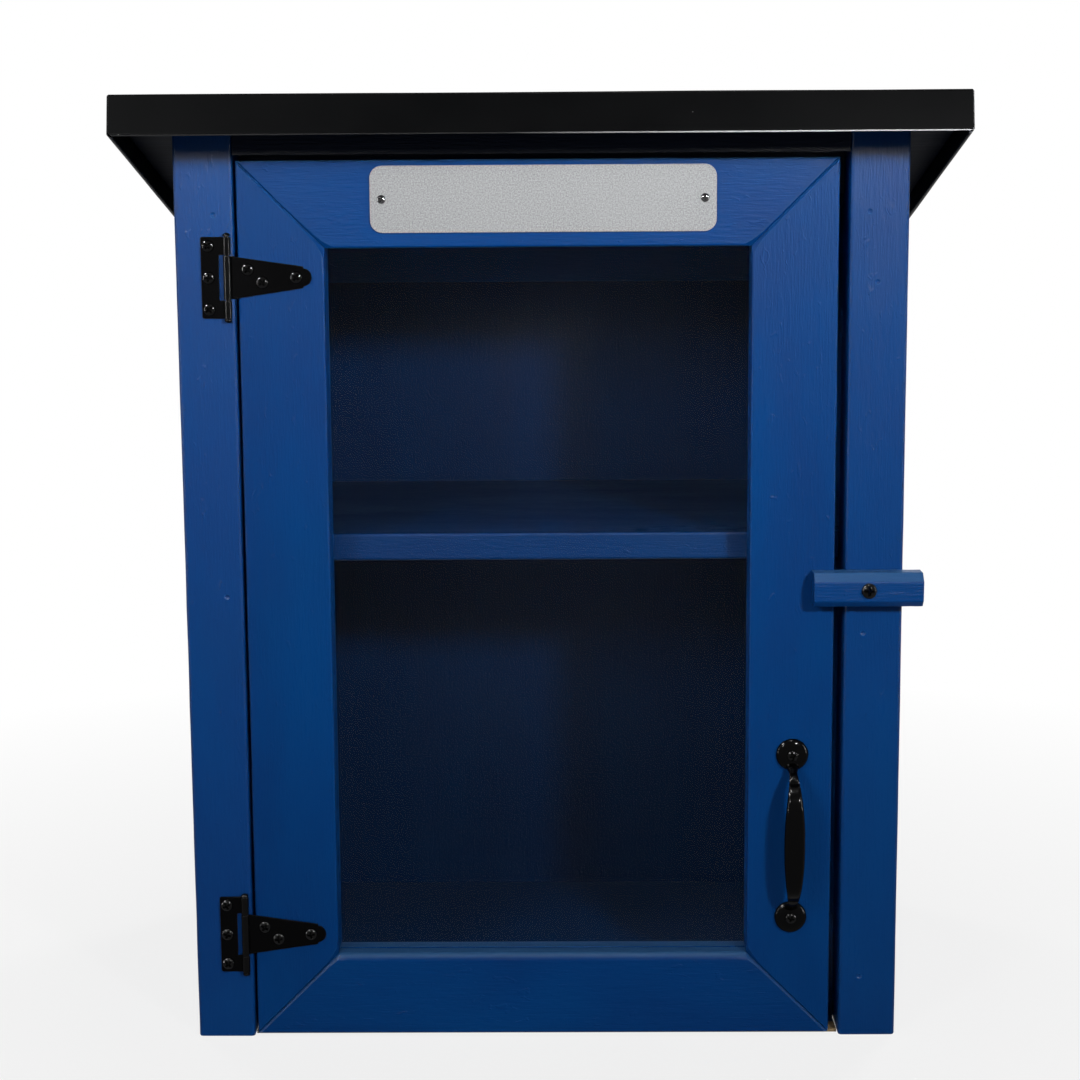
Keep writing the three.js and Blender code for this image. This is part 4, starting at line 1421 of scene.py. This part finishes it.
# %% World
WORLD_LIGHT = 0.05
world = bpy.data.worlds.new("studio")
bpy.context.scene.world = world
world.use_nodes = True
tree = world.node_tree
sky = tree.nodes["Background"].inputs
sky["Color"].default_value = (1, 1, 1, 1)
tree.links.new(spread(seen_directly(tree), 0.0, 1.0, WORLD_LIGHT, 1.0), sky["Strength"])
print("world light:", WORLD_LIGHT)

# %% [markdown]
# Two lamps stand in front, a strong one to the right and a weaker one to the left, both a little above the
# roof, and a wide soft one hangs high in front of it. Two more light the back, which the front ones never
# reach. The four glints and two tall strips only show in mirrors: they give metal and paint their spots and
# lines of light. The world adds a low, even light.

# %% Lamps
# Each lamp's place, target, width, height, watts and spread in degrees.
LAMPS = {
    "right lamp": ((0.72, -1.53, 0.90), (0.0, -0.135, 0.74), 0.13, 0.13, 4.4, 70),
    "left lamp": ((-0.82, -1.55, 0.98), (0.0, -0.135, 0.78), 0.34, 0.34, 2.7, 70),
    "overhead lamp": ((0.0, -0.75, 1.75), (0, -0.1, 0.3), 0.6, 0.6, 3.0, 180),
    "back left lamp": ((1.05, 1.45, 1.05), (0.05, 0.15, 0.35), 0.4, 0.4, 3.6, 70),
    "back right lamp": ((-1.15, 1.35, 1.15), (-0.05, 0.15, 0.35), 0.4, 0.4, 2.4, 70),
    "right glint": ((0.60, -1.52, 0.80), (0, -0.135, 0.72), 0.12, 0.12, 7.5, 70),
    "left glint": ((-0.60, -1.52, 0.80), (0, -0.135, 0.72), 0.12, 0.12, 4.0, 70),
    "top glint": ((0.10, -0.75, 1.75), (0, -0.135, 0.30), 0.22, 0.22, 3.5, 70),
    "corner glint": ((-1.00, -0.80, 1.35), (0, -0.135, 0.35), 0.32, 0.32, 16.0, 70),
    "right strip": ((1.90, -1.00, 0.56), (0, -0.135, 0.56), 0.05, 1.3, 9.0, 70),
    "left strip": ((-1.90, -1.00, 0.56), (0, -0.135, 0.56), 0.05, 1.3, 9.0, 70),
}
for name, (place, target, width, height, watts, degrees) in LAMPS.items():
    bpy.ops.object.light_add(type="AREA", location=place)
    lamp = bpy.context.object
    lamp.name = name
    way = Vector(target) - Vector(place)
    lamp.rotation_euler = way.to_track_quat("-Z", "Y").to_euler()
    lamp.data.shape = "RECTANGLE"
    lamp.data.size = width
    lamp.data.size_y = height
    lamp.data.energy = watts
    lamp.data.spread = math.radians(degrees)
    lamp.visible_camera = False
    lamp.visible_diffuse = "lamp" in name
    print(name, "at", place, "gives", watts, "W")

# %% [markdown]
# ## Hand over
# The view transform is plain, so that colours render as they are written.

# %% Finish
bpy.context.scene.view_settings.view_transform = "Standard"


def plain(box):
    return [[round(float(value), 6) for value in corner] for corner in box]


sizes = {"cad": plain(cad_box), "visual": plain(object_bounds())}
print(sizes)
